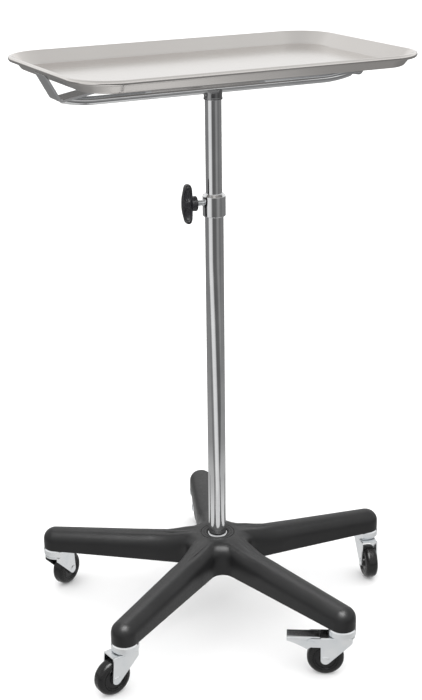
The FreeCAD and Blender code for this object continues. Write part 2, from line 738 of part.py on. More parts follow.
def channel(half_width, sheet, bend, top, low, start, end):
    """Inverted U channel along X, bent from sheet."""
    drop = top - sheet / 2 - bend - low
    flat = 2 * (half_width - sheet / 2 - bend)
    moves = [("run", drop), ("bend", bend, -90), ("run", flat), ("bend", bend, -90), ("run", drop)]
    section = strip_face((-half_width + sheet / 2, low), 90.0, moves, sheet)
    section = section.rotated(Vec(), UP, 90)
    return section.translated(Vec(start, 0, 0)).extrude(Vec(end - start, 0, 0))


def make_fork(braked):
    """Pressed fork: a plate with a raised race, and two tapering cheeks for the axle."""
    end = BRAKE_PIVOT_X + EAR_RADIUS + 1 if braked else TRAIL + FORK_BOSS_RADIUS + 1
    blank = channel(FORK_HALF_WIDTH, FORK_SHEET, FORK_BEND, FORK_TOP, 0.0, -CUP_RADIUS, end)
    blank = blank.common(fork_outline(braked))
    if braked:
        slot_start = PEDAL_START - PEDAL_NOTCH
        half = FORK_HALF_WIDTH - FORK_SHEET
        blank = blank.cut(Part.makeBox(end - slot_start, 2 * half, FORK_TOP,
                                       Vec(slot_start, -half, 1)))
    plan = rod(CUP_RADIUS - 1, 0, FORK_TOP + 1).fuse(
        Part.makeBox(end, 2 * FORK_HALF_WIDTH, FORK_TOP + 1, Vec(0, -FORK_HALF_WIDTH, 0)))
    blank = blank.common(plan)
    dish = turned([
        (0, FORK_TOP - FORK_SHEET),
        (FORK_HALF_WIDTH - 2, FORK_TOP - FORK_SHEET),
        (DISH_RADIUS, FORK_TOP - 0.6),
        (DISH_RADIUS, DISH_TOP - 1),
        (DISH_RADIUS - 1, DISH_TOP),
        (0, DISH_TOP),
    ])
    fork = blank.fuse(dish)
    fork = fork.cut([
        rod(SHANK_RADIUS + RUN_GAP, 0, DISH_TOP + 1),
        axle_rod(AXLE_RADIUS + FIXED_GAP, 2 * FORK_HALF_WIDTH),
    ])
    if braked:
        fork = fork.cut(brake_rod(BRAKE_PIN_RADIUS + FIXED_GAP, 2 * FORK_HALF_WIDTH))
    return fork


def make_axle():
    """Rivet through the fork and the wheel, with a round head outside each cheek."""
    face = FORK_HALF_WIDTH + FIXED_GAP
    crown = face + AXLE_HEAD_HEIGHT
    head = AXLE_HEAD_RADIUS
    flat = head - 2 * AXLE_HEAD_EDGE
    rim = crown - AXLE_HEAD_EDGE
    side = [(0, crown), (flat, crown), (head, rim), (head, face), (AXLE_RADIUS, face)]
    return axle_turned([(radius, -y) for radius, y in side] + side[::-1])


def make_wheel_core():
    """Moulded core of the wheel, with a dished face and a boss that runs on the axle."""
    half = WHEEL_WIDTH / 2
    bore = AXLE_RADIUS + RUN_GAP
    side = [
        (bore, half + WHEEL_BOSS_RISE),
        (WHEEL_BOSS_RADIUS, half + WHEEL_BOSS_RISE),
        (WHEEL_BOSS_RADIUS + WHEEL_BOSS_RISE, half - WHEEL_DISH),
        (WHEEL_CORE_RADIUS - WHEEL_DISH, half - WHEEL_DISH),
        (WHEEL_CORE_RADIUS - WHEEL_DISH / 2, half),
        (WHEEL_CORE_RADIUS, half),
    ]
    return axle_turned(side + [(radius, -y) for radius, y in reversed(side)])


def make_tyre():
    """Hard rubber tread with round shoulders and a groove in each side."""
    half = WHEEL_WIDTH / 2
    bore = WHEEL_CORE_RADIUS + FIXED_GAP
    shoulder = TYRE_SHOULDER_RADIUS
    tread_half = TREAD_HALF_WIDTH
    groove = TYRE_GROOVE_RADIUS
    lip = TYRE_GROOVE_HALF
    outer = [
        Part.makeLine(Vec(bore, 0, -half), Vec(groove - lip, 0, -half)),
        Part.makeLine(Vec(groove - lip, 0, -half), Vec(groove, 0, 2 * lip - half)),
        Part.makeLine(Vec(groove, 0, 2 * lip - half), Vec(groove + lip, 0, -half)),
        Part.makeLine(Vec(groove + lip, 0, -half), Vec(shoulder, 0, -half)),
        Part.Arc(Vec(shoulder, 0, -half),
                 Vec(shoulder + 0.7 * (WHEEL_RADIUS - shoulder), 0,
                     0.7 * (tread_half - half) - tread_half),
                 Vec(WHEEL_RADIUS, 0, -tread_half)).toShape(),
    ]
    mirror = [edge.mirror(Vec(), UP) for edge in outer]
    tread = Part.makeLine(Vec(WHEEL_RADIUS, 0, -tread_half), Vec(WHEEL_RADIUS, 0, tread_half))
    inside = Part.makeLine(Vec(bore, 0, half), Vec(bore, 0, -half))
    edges = Part.sortEdges(outer + [tread] + mirror + [inside])[0]
    tyre = Part.Face(Part.Wire(edges)).revolve(Vec(), UP, 360)
    return tyre.rotated(Vec(), Vec(1, 0, 0), -90).translated(Vec(TRAIL, 0, WHEEL_RADIUS))


# --- Wheel brake --------------------------------------------------------------------------------

def brake_rod(radius, half_length):
    """Round rod on the brake's pivot."""
    start = Vec(BRAKE_PIVOT_X, -half_length, BRAKE_PIVOT_Z)
    return Part.makeCylinder(radius, 2 * half_length, start, Vec(0, 1, 0))


def make_brake_pin():
    """Pivot pin with a thin head outside each ear."""
    face = FORK_HALF_WIDTH + FIXED_GAP
    pin = brake_rod(BRAKE_PIN_RADIUS, face)
    for side in (-1, 1):
        start = Vec(BRAKE_PIVOT_X, side * face, BRAKE_PIVOT_Z)
        pin = pin.fuse(Part.makeCylinder(PIN_HEAD_RADIUS, PIN_HEAD_HEIGHT, start,
                                         Vec(0, side, 0)))
    return pin


def make_brake_lever():
    """Pressed pedal: a channel that turns between the ears of the fork and ends in a foot plate.

    A tab across its throat presses on the tread when the pedal is trodden down.
    """
    half_width = FORK_HALF_WIDTH - FORK_SHEET - PEDAL_GAP / 2
    throat = half_width - PEDAL_SHEET
    body = channel(half_width, PEDAL_SHEET, PEDAL_BEND, FORK_TOP, TAB_FOOT - PEDAL_SHEET,
                   PEDAL_START, PEDAL_END)
    tab = Part.makeBox(PEDAL_SHEET, 2 * throat + 1, TAB_HEIGHT, Vec(TAB_X, -throat - 0.5, TAB_FOOT))
    toe = FORK_TOP - PEDAL_TOE_DEPTH
    outline = Part.Face(Part.Wire([
        Part.makeLine(Vec(PEDAL_START, 0, FORK_TOP + 1), Vec(PEDAL_END, 0, FORK_TOP + 1)),
        Part.makeLine(Vec(PEDAL_END, 0, FORK_TOP + 1), Vec(PEDAL_END, 0, toe)),
        Part.Arc(Vec(PEDAL_END, 0, toe), Vec(PEDAL_SWEEP_X, 0, PEDAL_SWEEP_Z),
                 Vec(PEDAL_HEEL_X, 0, TAB_FOOT)).toShape(),
        Part.makeLine(Vec(PEDAL_HEEL_X, 0, TAB_FOOT), Vec(TAB_X, 0, TAB_FOOT)),
        Part.makeLine(Vec(TAB_X, 0, TAB_FOOT), Vec(PEDAL_START, 0, PEDAL_THROAT_Z)),
        Part.makeLine(Vec(PEDAL_START, 0, PEDAL_THROAT_Z), Vec(PEDAL_START, 0, FORK_TOP + 1)),
    ]))
    lever = body.fuse(tab).common(slab(outline, FORK_HALF_WIDTH + 1))
    return lever.cut(brake_rod(BRAKE_PIN_RADIUS + RUN_GAP, 2 * FORK_HALF_WIDTH))


# --- Write every sub-part -----------------------------------------------------------------------

def write_head():
    """Tray, carrier and the inner mast."""
    bracket = make_bracket()
    save("tray", make_tray())
    save("carrier_bracket_right", bracket)
    save("carrier_bracket_left", mirrored(bracket))
    save("carrier_spine", make_spine(bracket))
    save("mast_socket", make_socket())
    save("upper_tube", make_upper_tube())
    save("upper_glide", make_upper_glide())


def write_mast():
    """Outer mast, collar and clamp."""
    save("lower_tube", tube(LOWER_TUBE_BORE, LOWER_TUBE_RADIUS, LOWER_TUBE_FOOT, LOWER_TUBE_TOP))
    save("tube_plug", make_tube_plug())
    save("collar", make_collar())
    save("clamp_pad", clamp_rod(PAD_RADIUS, PAD_FACE, PAD_BACK))
    save("clamp_screw", clamp_rod(SCREW_RADIUS, SCREW_TIP, SCREW_END))
    save("clamp_knob", make_knob())


def write_base():
    """Star base and what fastens the mast in it."""
    save("base_star", make_base())
    save("hub_cap", make_hub_cap())
    save("foot_ring", make_foot_ring())
    save("base_washer", tube(BOLT_RADIUS + BOLT_GAP, WASHER_RADIUS,
                             HUB_BOTTOM - WASHER_THICK - FIXED_GAP, HUB_BOTTOM - FIXED_GAP))
    save("base_bolt", make_base_bolt())


def write_casters():
    """Five casters, one of them with a brake."""
    rings = []
    for index, (leg, trail) in enumerate(CASTERS):
        braked = leg == BRAKED_CASTER
        save("stem_" + leg, caster_place(make_stem(), index, trail))
        save("balls_" + leg, caster_place(make_balls(), index, trail))
        save("fork_" + leg, caster_place(make_fork(braked), index, trail))
        save("axle_" + leg, caster_place(make_axle(), index, trail))
        save("wheel_core_" + leg, caster_place(make_wheel_core(), index, trail))
        save("tyre_" + leg, caster_place(make_tyre(), index, trail))
        rings.append(caster_place(make_stem_ring(), index, trail))
        if braked:
            save("brake_lever", caster_place(make_brake_lever(), index, trail))
            save("brake_pin", caster_place(make_brake_pin(), index, trail))
    save("stem_rings", Part.makeCompound(rings))


os.makedirs("parts", exist_ok=True)
write_head()
write_mast()
write_base()
write_casters()
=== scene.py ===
import json
import math

import bmesh
import bpy
from mathutils import Matrix, Vector

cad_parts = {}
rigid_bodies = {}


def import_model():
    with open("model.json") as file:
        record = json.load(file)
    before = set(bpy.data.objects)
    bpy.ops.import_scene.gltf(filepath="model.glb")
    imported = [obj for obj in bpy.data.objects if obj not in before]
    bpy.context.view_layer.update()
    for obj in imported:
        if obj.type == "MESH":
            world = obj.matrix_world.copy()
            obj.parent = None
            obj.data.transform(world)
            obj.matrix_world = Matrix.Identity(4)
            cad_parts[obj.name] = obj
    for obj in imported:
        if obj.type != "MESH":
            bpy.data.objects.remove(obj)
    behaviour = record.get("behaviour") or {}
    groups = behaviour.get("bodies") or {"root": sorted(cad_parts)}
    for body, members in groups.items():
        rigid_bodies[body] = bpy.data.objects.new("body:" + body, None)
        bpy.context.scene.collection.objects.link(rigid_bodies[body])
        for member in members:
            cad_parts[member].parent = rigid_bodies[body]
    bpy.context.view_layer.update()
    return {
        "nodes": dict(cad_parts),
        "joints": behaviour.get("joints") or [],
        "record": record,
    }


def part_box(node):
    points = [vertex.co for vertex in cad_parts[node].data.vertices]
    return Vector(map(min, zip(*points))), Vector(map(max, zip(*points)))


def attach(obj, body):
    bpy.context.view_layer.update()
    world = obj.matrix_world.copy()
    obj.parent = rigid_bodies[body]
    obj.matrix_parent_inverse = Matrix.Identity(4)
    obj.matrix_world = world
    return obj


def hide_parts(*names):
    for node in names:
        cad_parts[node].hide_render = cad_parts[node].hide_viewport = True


# An instrument stand: pressed steel tray, chrome telescopic mast, black star base, swivel casters.
# Lengths are metres unless a name ends in MM; the mast's axis is x = y = 0 and the floor is z = 0.

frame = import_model()

MM = 0.001
UP = Vector((0, 0, 1))
JOINTS = {joint["name"]: joint for joint in frame["joints"]}
CASTERS = [name[len("swivel_"):] for name in JOINTS if name.startswith("swivel_")]
ROUND_STEPS = 96
CAD_WELD = 0.002 * MM
CAD_BEVEL = 0.25 * MM


# --- Mesh helpers -------------------------------------------------------------------------------

def new_object(name, vertices, faces, smooth=True):
    """Object from plain vertex and face lists, with welded seams and outward normals."""
    mesh = bpy.data.meshes.new(name)
    mesh.from_pydata([tuple(v) for v in vertices], [], faces)
    work = bmesh.new()
    work.from_mesh(mesh)
    bmesh.ops.remove_doubles(work, verts=work.verts, dist=1e-6)
    bmesh.ops.dissolve_degenerate(work, edges=work.edges, dist=1e-7)
    bmesh.ops.recalc_face_normals(work, faces=work.faces)
    for face in work.faces:
        face.smooth = smooth
    work.to_mesh(mesh)
    work.free()
    thing = bpy.data.objects.new(name, mesh)
    bpy.context.scene.collection.objects.link(thing)
    return thing


def weighted(thing):
    """Keep flat faces flat where they meet small rounded edges."""
    modifier = thing.modifiers.new("weighted", "WEIGHTED_NORMAL")
    modifier.keep_sharp = True
    modifier.weight = 80
    return thing


def soften(points, radius, steps=4):
    """Round the inner corners of an open line of (a, b) points."""
    out = [points[0]]
    for before, corner, after in zip(points, points[1:], points[2:]):
        here = Vector(corner)
        back = Vector(before) - here
        ahead = Vector(after) - here
        if back.length < 1e-9 or ahead.length < 1e-9:
            continue
        turn = math.pi - back.angle(ahead)
        if turn < 0.09:
            out.append(corner)
            continue
        trim = min(radius * math.tan(turn / 2), 0.45 * back.length, 0.45 * ahead.length)
        start = here + back.normalized() * trim
        end = here + ahead.normalized() * trim
        for step in range(steps + 1):
            t = step / steps
            out.append(tuple(start * (1 - t) ** 2 + here * 2 * t * (1 - t) + end * t * t))
    out.append(points[-1])
    return out


def stitch(faces, first, second):
    """Add the quads between two closed loops of as many vertices."""
    for column in range(len(first)):
        after = (column + 1) % len(first)
        faces.append((first[column], first[after], second[after], second[column]))


def ring_faces(rows, columns, close_rows=False):
    """Quads between successive closed rings of vertices."""
    rings = [range(row * columns, (row + 1) * columns) for row in range(rows)]
    faces = []
    for row in range(rows if close_rows else rows - 1):
        stitch(faces, rings[row], rings[(row + 1) % rows])
    return faces


def lathe(name, profile, place=Matrix(), radius=0.4 * MM, steps=ROUND_STEPS, closed=False):
    """Turned solid from (radius, height) points, about +Z of place.

    A closed profile is a ring; an open one starts and ends on the axis.
    """
    if closed:
        middle = tuple((Vector(profile[0]) + Vector(profile[-1])) / 2)
        line = soften([middle] + list(profile) + [middle], radius)[:-1]
    else:
        line = soften(profile, radius)
    vertices = []
    for r, z in line:
        for step in range(steps):
            angle = 2 * math.pi * step / steps
            vertices.append(place @ Vector((r * math.cos(angle), r * math.sin(angle), z)))
    thing = new_object(name, vertices, ring_faces(len(line), steps, closed))
    return weighted(thing)


def tidy_cad(node):
    """Weld a CAD node's facets and soften its edges, without touching its mesh."""
    thing = frame["nodes"][node]
    for polygon in thing.data.polygons:
        polygon.use_smooth = True
    weld = thing.modifiers.new("weld", "WELD")
    weld.merge_threshold = CAD_WELD
    rounded = thing.modifiers.new("edges", "BEVEL")
    rounded.width = CAD_BEVEL
    rounded.segments = 2
    rounded.limit_method = "ANGLE"
    rounded.angle_limit = math.radians(32)
    return weighted(thing)


def finish_piece(thing, body, material, slot, *nodes):
    """Give a new piece its material and its body, and hide the CAD nodes that it stands for."""
    thing.data.materials.clear()
    thing.data.materials.append(material)
    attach(thing, body)
    if nodes:
        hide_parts(*nodes)
    return thing


# --- Material helpers ---------------------------------------------------------------------------

class Finish:
    """Small builder for a procedural material around one Principled shader."""

    def __init__(self, name, colour, metallic, roughness):
        self.material = bpy.data.materials.new(name)
        self.material.use_nodes = True
        self.nodes = self.material.node_tree.nodes
        self.links = self.material.node_tree.links
        self.shader = self.nodes["Principled BSDF"]
        self.shader.inputs["Metallic"].default_value = metallic
        self.shader.inputs["Roughness"].default_value = roughness
        self.shader.inputs["Base Color"].default_value = (*colour, 1)
        self.place = self.nodes.new("ShaderNodeTexCoord").outputs["Object"]
        self.height = None

    def stretched(self, scale):
        """Object coordinates, scaled differently along each axis."""
        mapping = self.nodes.new("ShaderNodeMapping")
        mapping.inputs["Scale"].default_value = scale
        self.links.new(self.place, mapping.inputs["Vector"])
        return mapping.outputs["Vector"]

    def noise(self, scale, detail=3.0, vector=None, rough=0.55):
        """Noise value, over plain or stretched coordinates."""
        node = self.nodes.new("ShaderNodeTexNoise")
        node.inputs["Scale"].default_value = scale
        node.inputs["Detail"].default_value = detail
        node.inputs["Roughness"].default_value = rough
        self.links.new(vector or self.place, node.inputs["Vector"])
        return node.outputs["Fac"]

    def cells(self, scale, feature="F1"):
        """Distance value of a cell pattern."""
        node = self.nodes.new("ShaderNodeTexVoronoi")
        node.feature = feature
        node.inputs["Scale"].default_value = scale
        self.links.new(self.place, node.inputs["Vector"])
        return node.outputs["Distance"]

    def spread(self, value, low, high, from_low=0.3, from_high=0.7):
        """Value mapped from one range to another."""
        node = self.nodes.new("ShaderNodeMapRange")
        node.inputs["From Min"].default_value = from_low
        node.inputs["From Max"].default_value = from_high
        node.inputs["To Min"].default_value = low
        node.inputs["To Max"].default_value = high
        self.links.new(value, node.inputs["Value"])
        return node.outputs["Result"]

    def mixed(self, value, first, second):
        """Colour between two colours, by value."""
        node = self.nodes.new("ShaderNodeMix")
        node.data_type = "RGBA"
        node.inputs[6].default_value = (*first, 1)
        node.inputs[7].default_value = (*second, 1)
        self.links.new(value, node.inputs[0])
        return node.outputs[2]

    def worn(self, width=1.2 * MM):
        """One at convex edges and zero elsewhere, from the bevelled normal."""
        bevel = self.nodes.new("ShaderNodeBevel")
        bevel.samples = 4
        bevel.inputs["Radius"].default_value = width
        geometry = self.nodes.new("ShaderNodeNewGeometry")
        dot = self.nodes.new("ShaderNodeVectorMath")
        dot.operation = "DOT_PRODUCT"
        self.links.new(bevel.outputs["Normal"], dot.inputs[0])
        self.links.new(geometry.outputs["True Normal"], dot.inputs[1])
        return self.spread(dot.outputs["Value"], 1.0, 0.0, 0.90, 0.995)

    def colour_from(self, value):
        self.links.new(value, self.shader.inputs["Base Color"])

    def roughness_from(self, value):
        self.links.new(value, self.shader.inputs["Roughness"])

    def bump_from(self, value, strength, distance):
        """Add a bump layer on top of the layers given before."""
        node = self.nodes.new("ShaderNodeBump")
        node.inputs["Strength"].default_value = strength
        node.inputs["Distance"].default_value = distance
        self.links.new(value, node.inputs["Height"])
        if self.height is not None:
            self.links.new(self.height, node.inputs["Normal"])
        self.height = node.outputs["Normal"]
        self.links.new(self.height, self.shader.inputs["Normal"])


def tray_steel():
    """Stainless sheet with a fine lengthwise satin grain and faint handling marks."""
    finish = Finish("tray_steel", (0.74, 0.715, 0.69), 1.0, 0.24)
    grain = finish.noise(1.0, 3.0, finish.stretched((9, 1400, 1400)))
    cloud = finish.noise(6.0, 2.0)
    finish.colour_from(finish.mixed(finish.spread(cloud, 0, 1), (0.735, 0.705, 0.68),
                                    (0.765, 0.74, 0.715)))
    finish.roughness_from(finish.spread(grain, 0.15, 0.19))
    finish.bump_from(grain, 0.05, 0.01 * MM)
    return finish.material


def chrome(name="chrome", painted_shade_factor=1.0):
    """Bright chrome plate with faint draw lines and tiny specks; a factor below one darkens its
    colour as painted shade.
    """
    finish = Finish(name, (0.80, 0.805, 0.815), 1.0, 0.06)
    lines = finish.noise(1.0, 3.0, finish.stretched((700, 700, 6)))
    specks = finish.cells(900.0)
    cloud = finish.noise(35.0, 3.0)
    tone = [[painted_shade_factor * part for part in colour]
            for colour in ((0.76, 0.765, 0.775), (0.84, 0.845, 0.85))]
    finish.colour_from(finish.mixed(finish.spread(cloud, 0, 1), *tone))
    finish.roughness_from(finish.spread(cloud, 0.035, 0.10))
    finish.bump_from(lines, 0.05, 0.02 * MM)
    finish.bump_from(finish.spread(specks, 0, 1, 0.0, 0.12), 0.04, 0.02 * MM)
    return finish.material


def zinc_plate():
    """Bright zinc plate: bluish, faintly clouded, with fine press marks."""
    finish = Finish("zinc_plate", (0.80, 0.815, 0.83), 1.0, 0.2)
    mottle = finish.noise(160.0, 3.0)
    cloud = finish.noise(45.0, 3.0)
    finish.colour_from(finish.mixed(finish.spread(cloud, 0, 1), (0.77, 0.795, 0.815),
                                    (0.85, 0.86, 0.865)))
    finish.roughness_from(finish.spread(mottle, 0.15, 0.22))
    finish.bump_from(mottle, 0.03, 0.03 * MM)
    finish.bump_from(finish.noise(900.0, 2.0), 0.02, 0.02 * MM)
    return finish.material


def plain_steel():
    """Machined steel with turning marks."""
    finish = Finish("plain_steel", (0.56, 0.56, 0.57), 1.0, 0.3)
    marks = finish.noise(1.0, 3.0, finish.stretched((300, 300, 2600)))
    finish.colour_from(finish.mixed(finish.spread(marks, 0, 1), (0.48, 0.48, 0.49),
                                    (0.62, 0.62, 0.63)))
    finish.roughness_from(finish.spread(marks, 0.22, 0.4))
    finish.bump_from(marks, 0.15, 0.03 * MM)
    return finish.material


def brass():
    """Plain brass with a little tarnish."""
    finish = Finish("brass", (0.74, 0.56, 0.26), 1.0, 0.3)
    cloud = finish.noise(220.0, 4.0)
    finish.colour_from(finish.mixed(finish.spread(cloud, 0, 1), (0.60, 0.43, 0.19),
                                    (0.80, 0.63, 0.32)))
    finish.roughness_from(finish.spread(cloud, 0.2, 0.42))
    finish.bump_from(cloud, 0.1, 0.03 * MM)
    return finish.material


def moulded(name, dark, light, low, high, grain_scale, grain_depth):
    """Black moulded plastic with a fine grain and paler, scuffed edges."""
    finish = Finish(name, dark, 0.0, (low + high) / 2)
    finish.shader.inputs["Specular IOR Level"].default_value = 0.36
    grain = finish.noise(grain_scale, 3.0)
    cloud = finish.noise(18.0, 3.0)
    tone = finish.mixed(finish.spread(cloud, 0, 1), dark, light)
    worn = finish.nodes.new("ShaderNodeMix")
    worn.data_type = "RGBA"
    scuff = finish.nodes.new("ShaderNodeMath")
    scuff.operation = "MULTIPLY"
    finish.links.new(finish.worn(), scuff.inputs[0])
    finish.links.new(finish.spread(finish.noise(70.0, 4.0), 0.0, 0.5, 0.42, 0.62), scuff.inputs[1])
    finish.links.new(scuff.outputs["Value"], worn.inputs[0])
    finish.links.new(tone, worn.inputs[6])
    worn.inputs[7].default_value = (*(3.0 * c for c in light), 1)
    finish.colour_from(worn.outputs[2])
    finish.roughness_from(finish.spread(finish.noise(grain_scale / 3, 3.0), low, high))
    finish.bump_from(finish.cells(grain_scale), 0.35, grain_depth)
    finish.bump_from(grain, 0.3, grain_depth)
    return finish.material


def nylon():
    """Natural nylon, slightly translucent and cloudy."""
    finish = Finish("nylon", (0.78, 0.77, 0.72), 0.0, 0.4)
    cloud = finish.noise(120.0, 3.0)
    finish.colour_from(finish.mixed(finish.spread(cloud, 0, 1), (0.70, 0.69, 0.63),
                                    (0.82, 0.81, 0.77)))
    finish.roughness_from(finish.spread(cloud, 0.32, 0.5))
    finish.bump_from(cloud, 0.1, 0.03 * MM)
    return finish.material


MATERIALS = {
    "tray_steel": tray_steel(),
    "chrome": chrome(),
    # Darker copy of the chrome: painted shade for the mast's socket.
    "chrome_shaded": chrome("chrome_shaded", 0.4),
    "zinc_plate": zinc_plate(),
    "plain_steel": plain_steel(),
    "brass": brass(),
    "base_plastic": moulded("base_plastic", (0.0028, 0.0028, 0.0030), (0.0048, 0.0048, 0.0050),
                            0.34, 0.46, 900.0, 0.09 * MM),
    "knob_plastic": moulded("knob_plastic", (0.010, 0.010, 0.011), (0.015, 0.015, 0.017),
                            0.22, 0.30, 1900.0, 0.02 * MM),
    "wheel_rubber": moulded("wheel_rubber", (0.002, 0.002, 0.002), (0.004, 0.004, 0.004),
                            0.20, 0.32, 1500.0, 0.02 * MM),
    "wheel_plastic": moulded("wheel_plastic", (0.002, 0.002, 0.0022), (0.004, 0.004, 0.0042),
                             0.18, 0.28, 1900.0, 0.02 * MM),
    "nylon": nylon(),
}
SLOTS = {part["node"]: part["material_slot"] for part in frame["record"]["subparts"]}
BODY_OF = {node: body for body, nodes in frame["record"]["behaviour"]["bodies"].items()
           for node in nodes}


def stand_in(thing, node):
    """A new piece takes the body and material of the one CAD node that it replaces, which is hidden.
    """
    slot = SLOTS[node]
    return finish_piece(thing, BODY_OF[node], MATERIALS[slot], slot, node)


# --- Tray ---------------------------------------------------------------------------------------

TRAY_SHEET = 0.9 * MM
TRAY_CORNER = 57 * MM
TRAY_WALL_ANGLE = math.radians(53)
TRAY_FLOOR_BEND = 5.5 * MM
RIM_ROLL = 3.4 * MM
RIM_CURL_ANGLE = math.radians(268)


def tray_section(top, bottom):
    """Closed section of the tray's edge, as (distance out from the corner's centre, height)."""
    curl = RIM_ROLL - TRAY_SHEET / 2
    curl_x = TRAY_CORNER - RIM_ROLL
    curl_z = top - RIM_ROLL
    wall_top_x = curl_x - curl * math.sin(TRAY_WALL_ANGLE)
    wall_top_z = curl_z + curl * math.cos(TRAY_WALL_ANGLE)
    floor_z = bottom + TRAY_SHEET / 2
    rise = TRAY_FLOOR_BEND * (1 - math.cos(TRAY_WALL_ANGLE))
    wall_run = (wall_top_z - floor_z - rise) / math.sin(TRAY_WALL_ANGLE)
    foot_x = wall_top_x - wall_run * math.cos(TRAY_WALL_ANGLE)
    bend_x = foot_x - TRAY_FLOOR_BEND * math.sin(TRAY_WALL_ANGLE)
    line = [(0.0, floor_z, 0.0)]
    for step in range(9):
        angle = TRAY_WALL_ANGLE * step / 8
        line.append((bend_x + TRAY_FLOOR_BEND * math.sin(angle),
                     floor_z + TRAY_FLOOR_BEND * (1 - math.cos(angle)), angle))
    for step in range(29):
        heading = TRAY_WALL_ANGLE - RIM_CURL_ANGLE * step / 28
        line.append((curl_x - curl * math.sin(heading), curl_z + curl * math.cos(heading), heading))
    half = TRAY_SHEET / 2
    inner = [(x - half * math.sin(a), z + half * math.cos(a)) for x, z, a in line]
    outer = [(x + half * math.sin(a), z - half * math.cos(a)) for x, z, a in line]
    return inner + outer[::-1]


def make_tray():
    """Pressed tray: flat floor, sloped walls, round corners and an outward curled rim."""
    low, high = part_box("tray")
    section = tray_section(high.z, low.z)
    reach_x = high.x - TRAY_CORNER
    reach_y = high.y - TRAY_CORNER
    quarter = 20
    vertices = []
    rows = 0
    for index, (sign_x, sign_y) in enumerate(((1, 1), (-1, 1), (-1, -1), (1, -1))):
        for step in range(quarter + 1):
            angle = math.pi / 2 * (index + step / quarter)
            for out, z in section:
                vertices.append((sign_x * reach_x + out * math.cos(angle),
                                 sign_y * reach_y + out * math.sin(angle), z))
            rows += 1
    columns = len(section)
    faces = []
    for row in range(rows):
        for column in range(columns - 1):
            a = row * columns + column
            b = ((row + 1) % rows) * columns + column
            faces.append((a, b, b + 1, a + 1))
    faces.append([row * columns for row in range(rows)])
    faces.append([row * columns + columns - 1 for row in range(rows)])
    return stand_in(weighted(new_object("tray_pressed", vertices, faces)), "tray")


# --- Carrier and mast ---------------------------------------------------------------------------

SPINE_RADIUS = 5.6 * MM
SPINE_Z = 769.9 * MM
SPINE_STRAIGHT = 168 * MM
SPINE_BEND_RADIUS = 175 * MM
SPINE_BEND_ANGLE = math.radians(14)
SPINE_TIP_X = 216.5 * MM
SPINE_TIP_RADIUS = 3.6 * MM
BRACKET_SHEET = 3 * MM
BRACKET_VERTEX = (219 * MM, 774.6 * MM)
BRACKET_INNER_ANGLE = math.radians(10)
TUBE_WALL = 1.2 * MM
TUBE_LIP = 0.35 * MM


def spine_path():
    """Centre line from the middle to the right-hand tip, as (x, z, heading, radius)."""
    line = [(SPINE_STRAIGHT * step / 8, SPINE_Z, 0.0, SPINE_RADIUS) for step in range(9)]
    for step in range(1, 13):
        angle = SPINE_BEND_ANGLE * step / 12
        line.append((SPINE_STRAIGHT + SPINE_BEND_RADIUS * math.sin(angle),
                     SPINE_Z + SPINE_BEND_RADIUS * (1 - math.cos(angle)), angle, SPINE_RADIUS))
    x, z, angle, _ = line[-1]
    for step in range(1, 9):
        part = step / 8
        run = part * (SPINE_TIP_X - x) / math.cos(angle)
        taper = SPINE_RADIUS + (SPINE_TIP_RADIUS - SPINE_RADIUS) * part * part * (3 - 2 * part)
        line.append((x + run * math.cos(angle), z + run * math.sin(angle), angle, taper))
    x, z, angle, radius = line[-1]
    for step in range(1, 5):
        cap = math.pi / 2 * step / 4
        run = 0.5 * radius * math.sin(cap)
        line.append((x + run * math.cos(angle), z + run * math.sin(angle), angle,
                     max(radius * math.cos(cap), 1e-7)))
    return line


def make_spine():
    """Round rail, bent up at its ends, where it is pressed flat against the brackets."""
    right = spine_path()
    left = [(-x, z, -heading, radius) for x, z, heading, radius in reversed(right[1:])]
    steps = 48
    vertices = []
    path = left + right
    for x, z, heading, radius in path:
        for step in range(steps):
            angle = 2 * math.pi * step / steps
            side = radius * math.cos(angle)
            lift = radius * math.sin(angle)
            here = Vector((x - lift * math.sin(heading), side, z + lift * math.cos(heading)))
            plate = (BRACKET_VERTEX[1] - BRACKET_SHEET / 2 / math.cos(BRACKET_INNER_ANGLE)
                     + (BRACKET_VERTEX[0] - abs(here.x)) * math.tan(BRACKET_INNER_ANGLE))
            here.z = min(here.z, plate + 0.2 * MM)
            vertices.append(here)
    thing = new_object("carrier_rail", vertices, ring_faces(len(path), steps))
    return stand_in(thing, "carrier_spine")


def make_tube(node, name):
    """Round tube with the size and place of its CAD node."""
    low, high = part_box(node)
    radius = high.x
    bore = radius - TUBE_WALL
    profile = [(bore, low.z), (radius, low.z), (radius, high.z), (bore, high.z)]
    return stand_in(lathe(name, profile, radius=TUBE_LIP, closed=True), node)


def make_socket():
    """Ring at the head of the mast, coped to the rail, with a turned lip at its foot."""
    low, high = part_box("mast_socket")
    radius = high.y
    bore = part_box("upper_tube")[1].y
    steps = ROUND_STEPS
    foot = low.z
    rings = [(bore, foot), (radius - 0.5 * MM, foot), (radius, foot + 0.5 * MM),
             (radius, foot + 2.2 * MM), (radius - 0.35 * MM, foot + 2.8 * MM),
             (radius - 0.35 * MM, None), (bore, None)]
    vertices = []
    for r, z in rings:
        for step in range(steps):
            angle = 2 * math.pi * step / steps
            y = r * math.sin(angle)
            reach = SPINE_RADIUS ** 2 - y * y
            top = SPINE_Z - math.sqrt(reach) if reach > 0 else SPINE_Z
            vertices.append((r * math.cos(angle), y, top if z is None else z))
    thing = new_object("mast_saddle", vertices, ring_faces(len(rings), steps, True))
    # The socket takes the darker chrome copy, which is painted shade.
    return finish_piece(weighted(thing), "mast_head", MATERIALS["chrome_shaded"], "chrome",
                        "mast_socket")


def make_collar():
    """Turned collar with a bevelled mouth."""
    low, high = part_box("collar")
    radius = high.y
    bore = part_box("upper_tube")[1].y + 0.08 * MM
    bevel = 3.2 * MM
    profile = [(bore, low.z), (radius - 0.8 * MM, low.z), (radius, low.z + 0.8 * MM),
               (radius, high.z - bevel), (radius - bevel + 0.4 * MM, high.z), (bore, high.z)]
    return stand_in(lathe("clamp_collar", profile, radius=0.5 * MM, closed=True), "collar")


# --- Clamp --------------------------------------------------------------------------------------

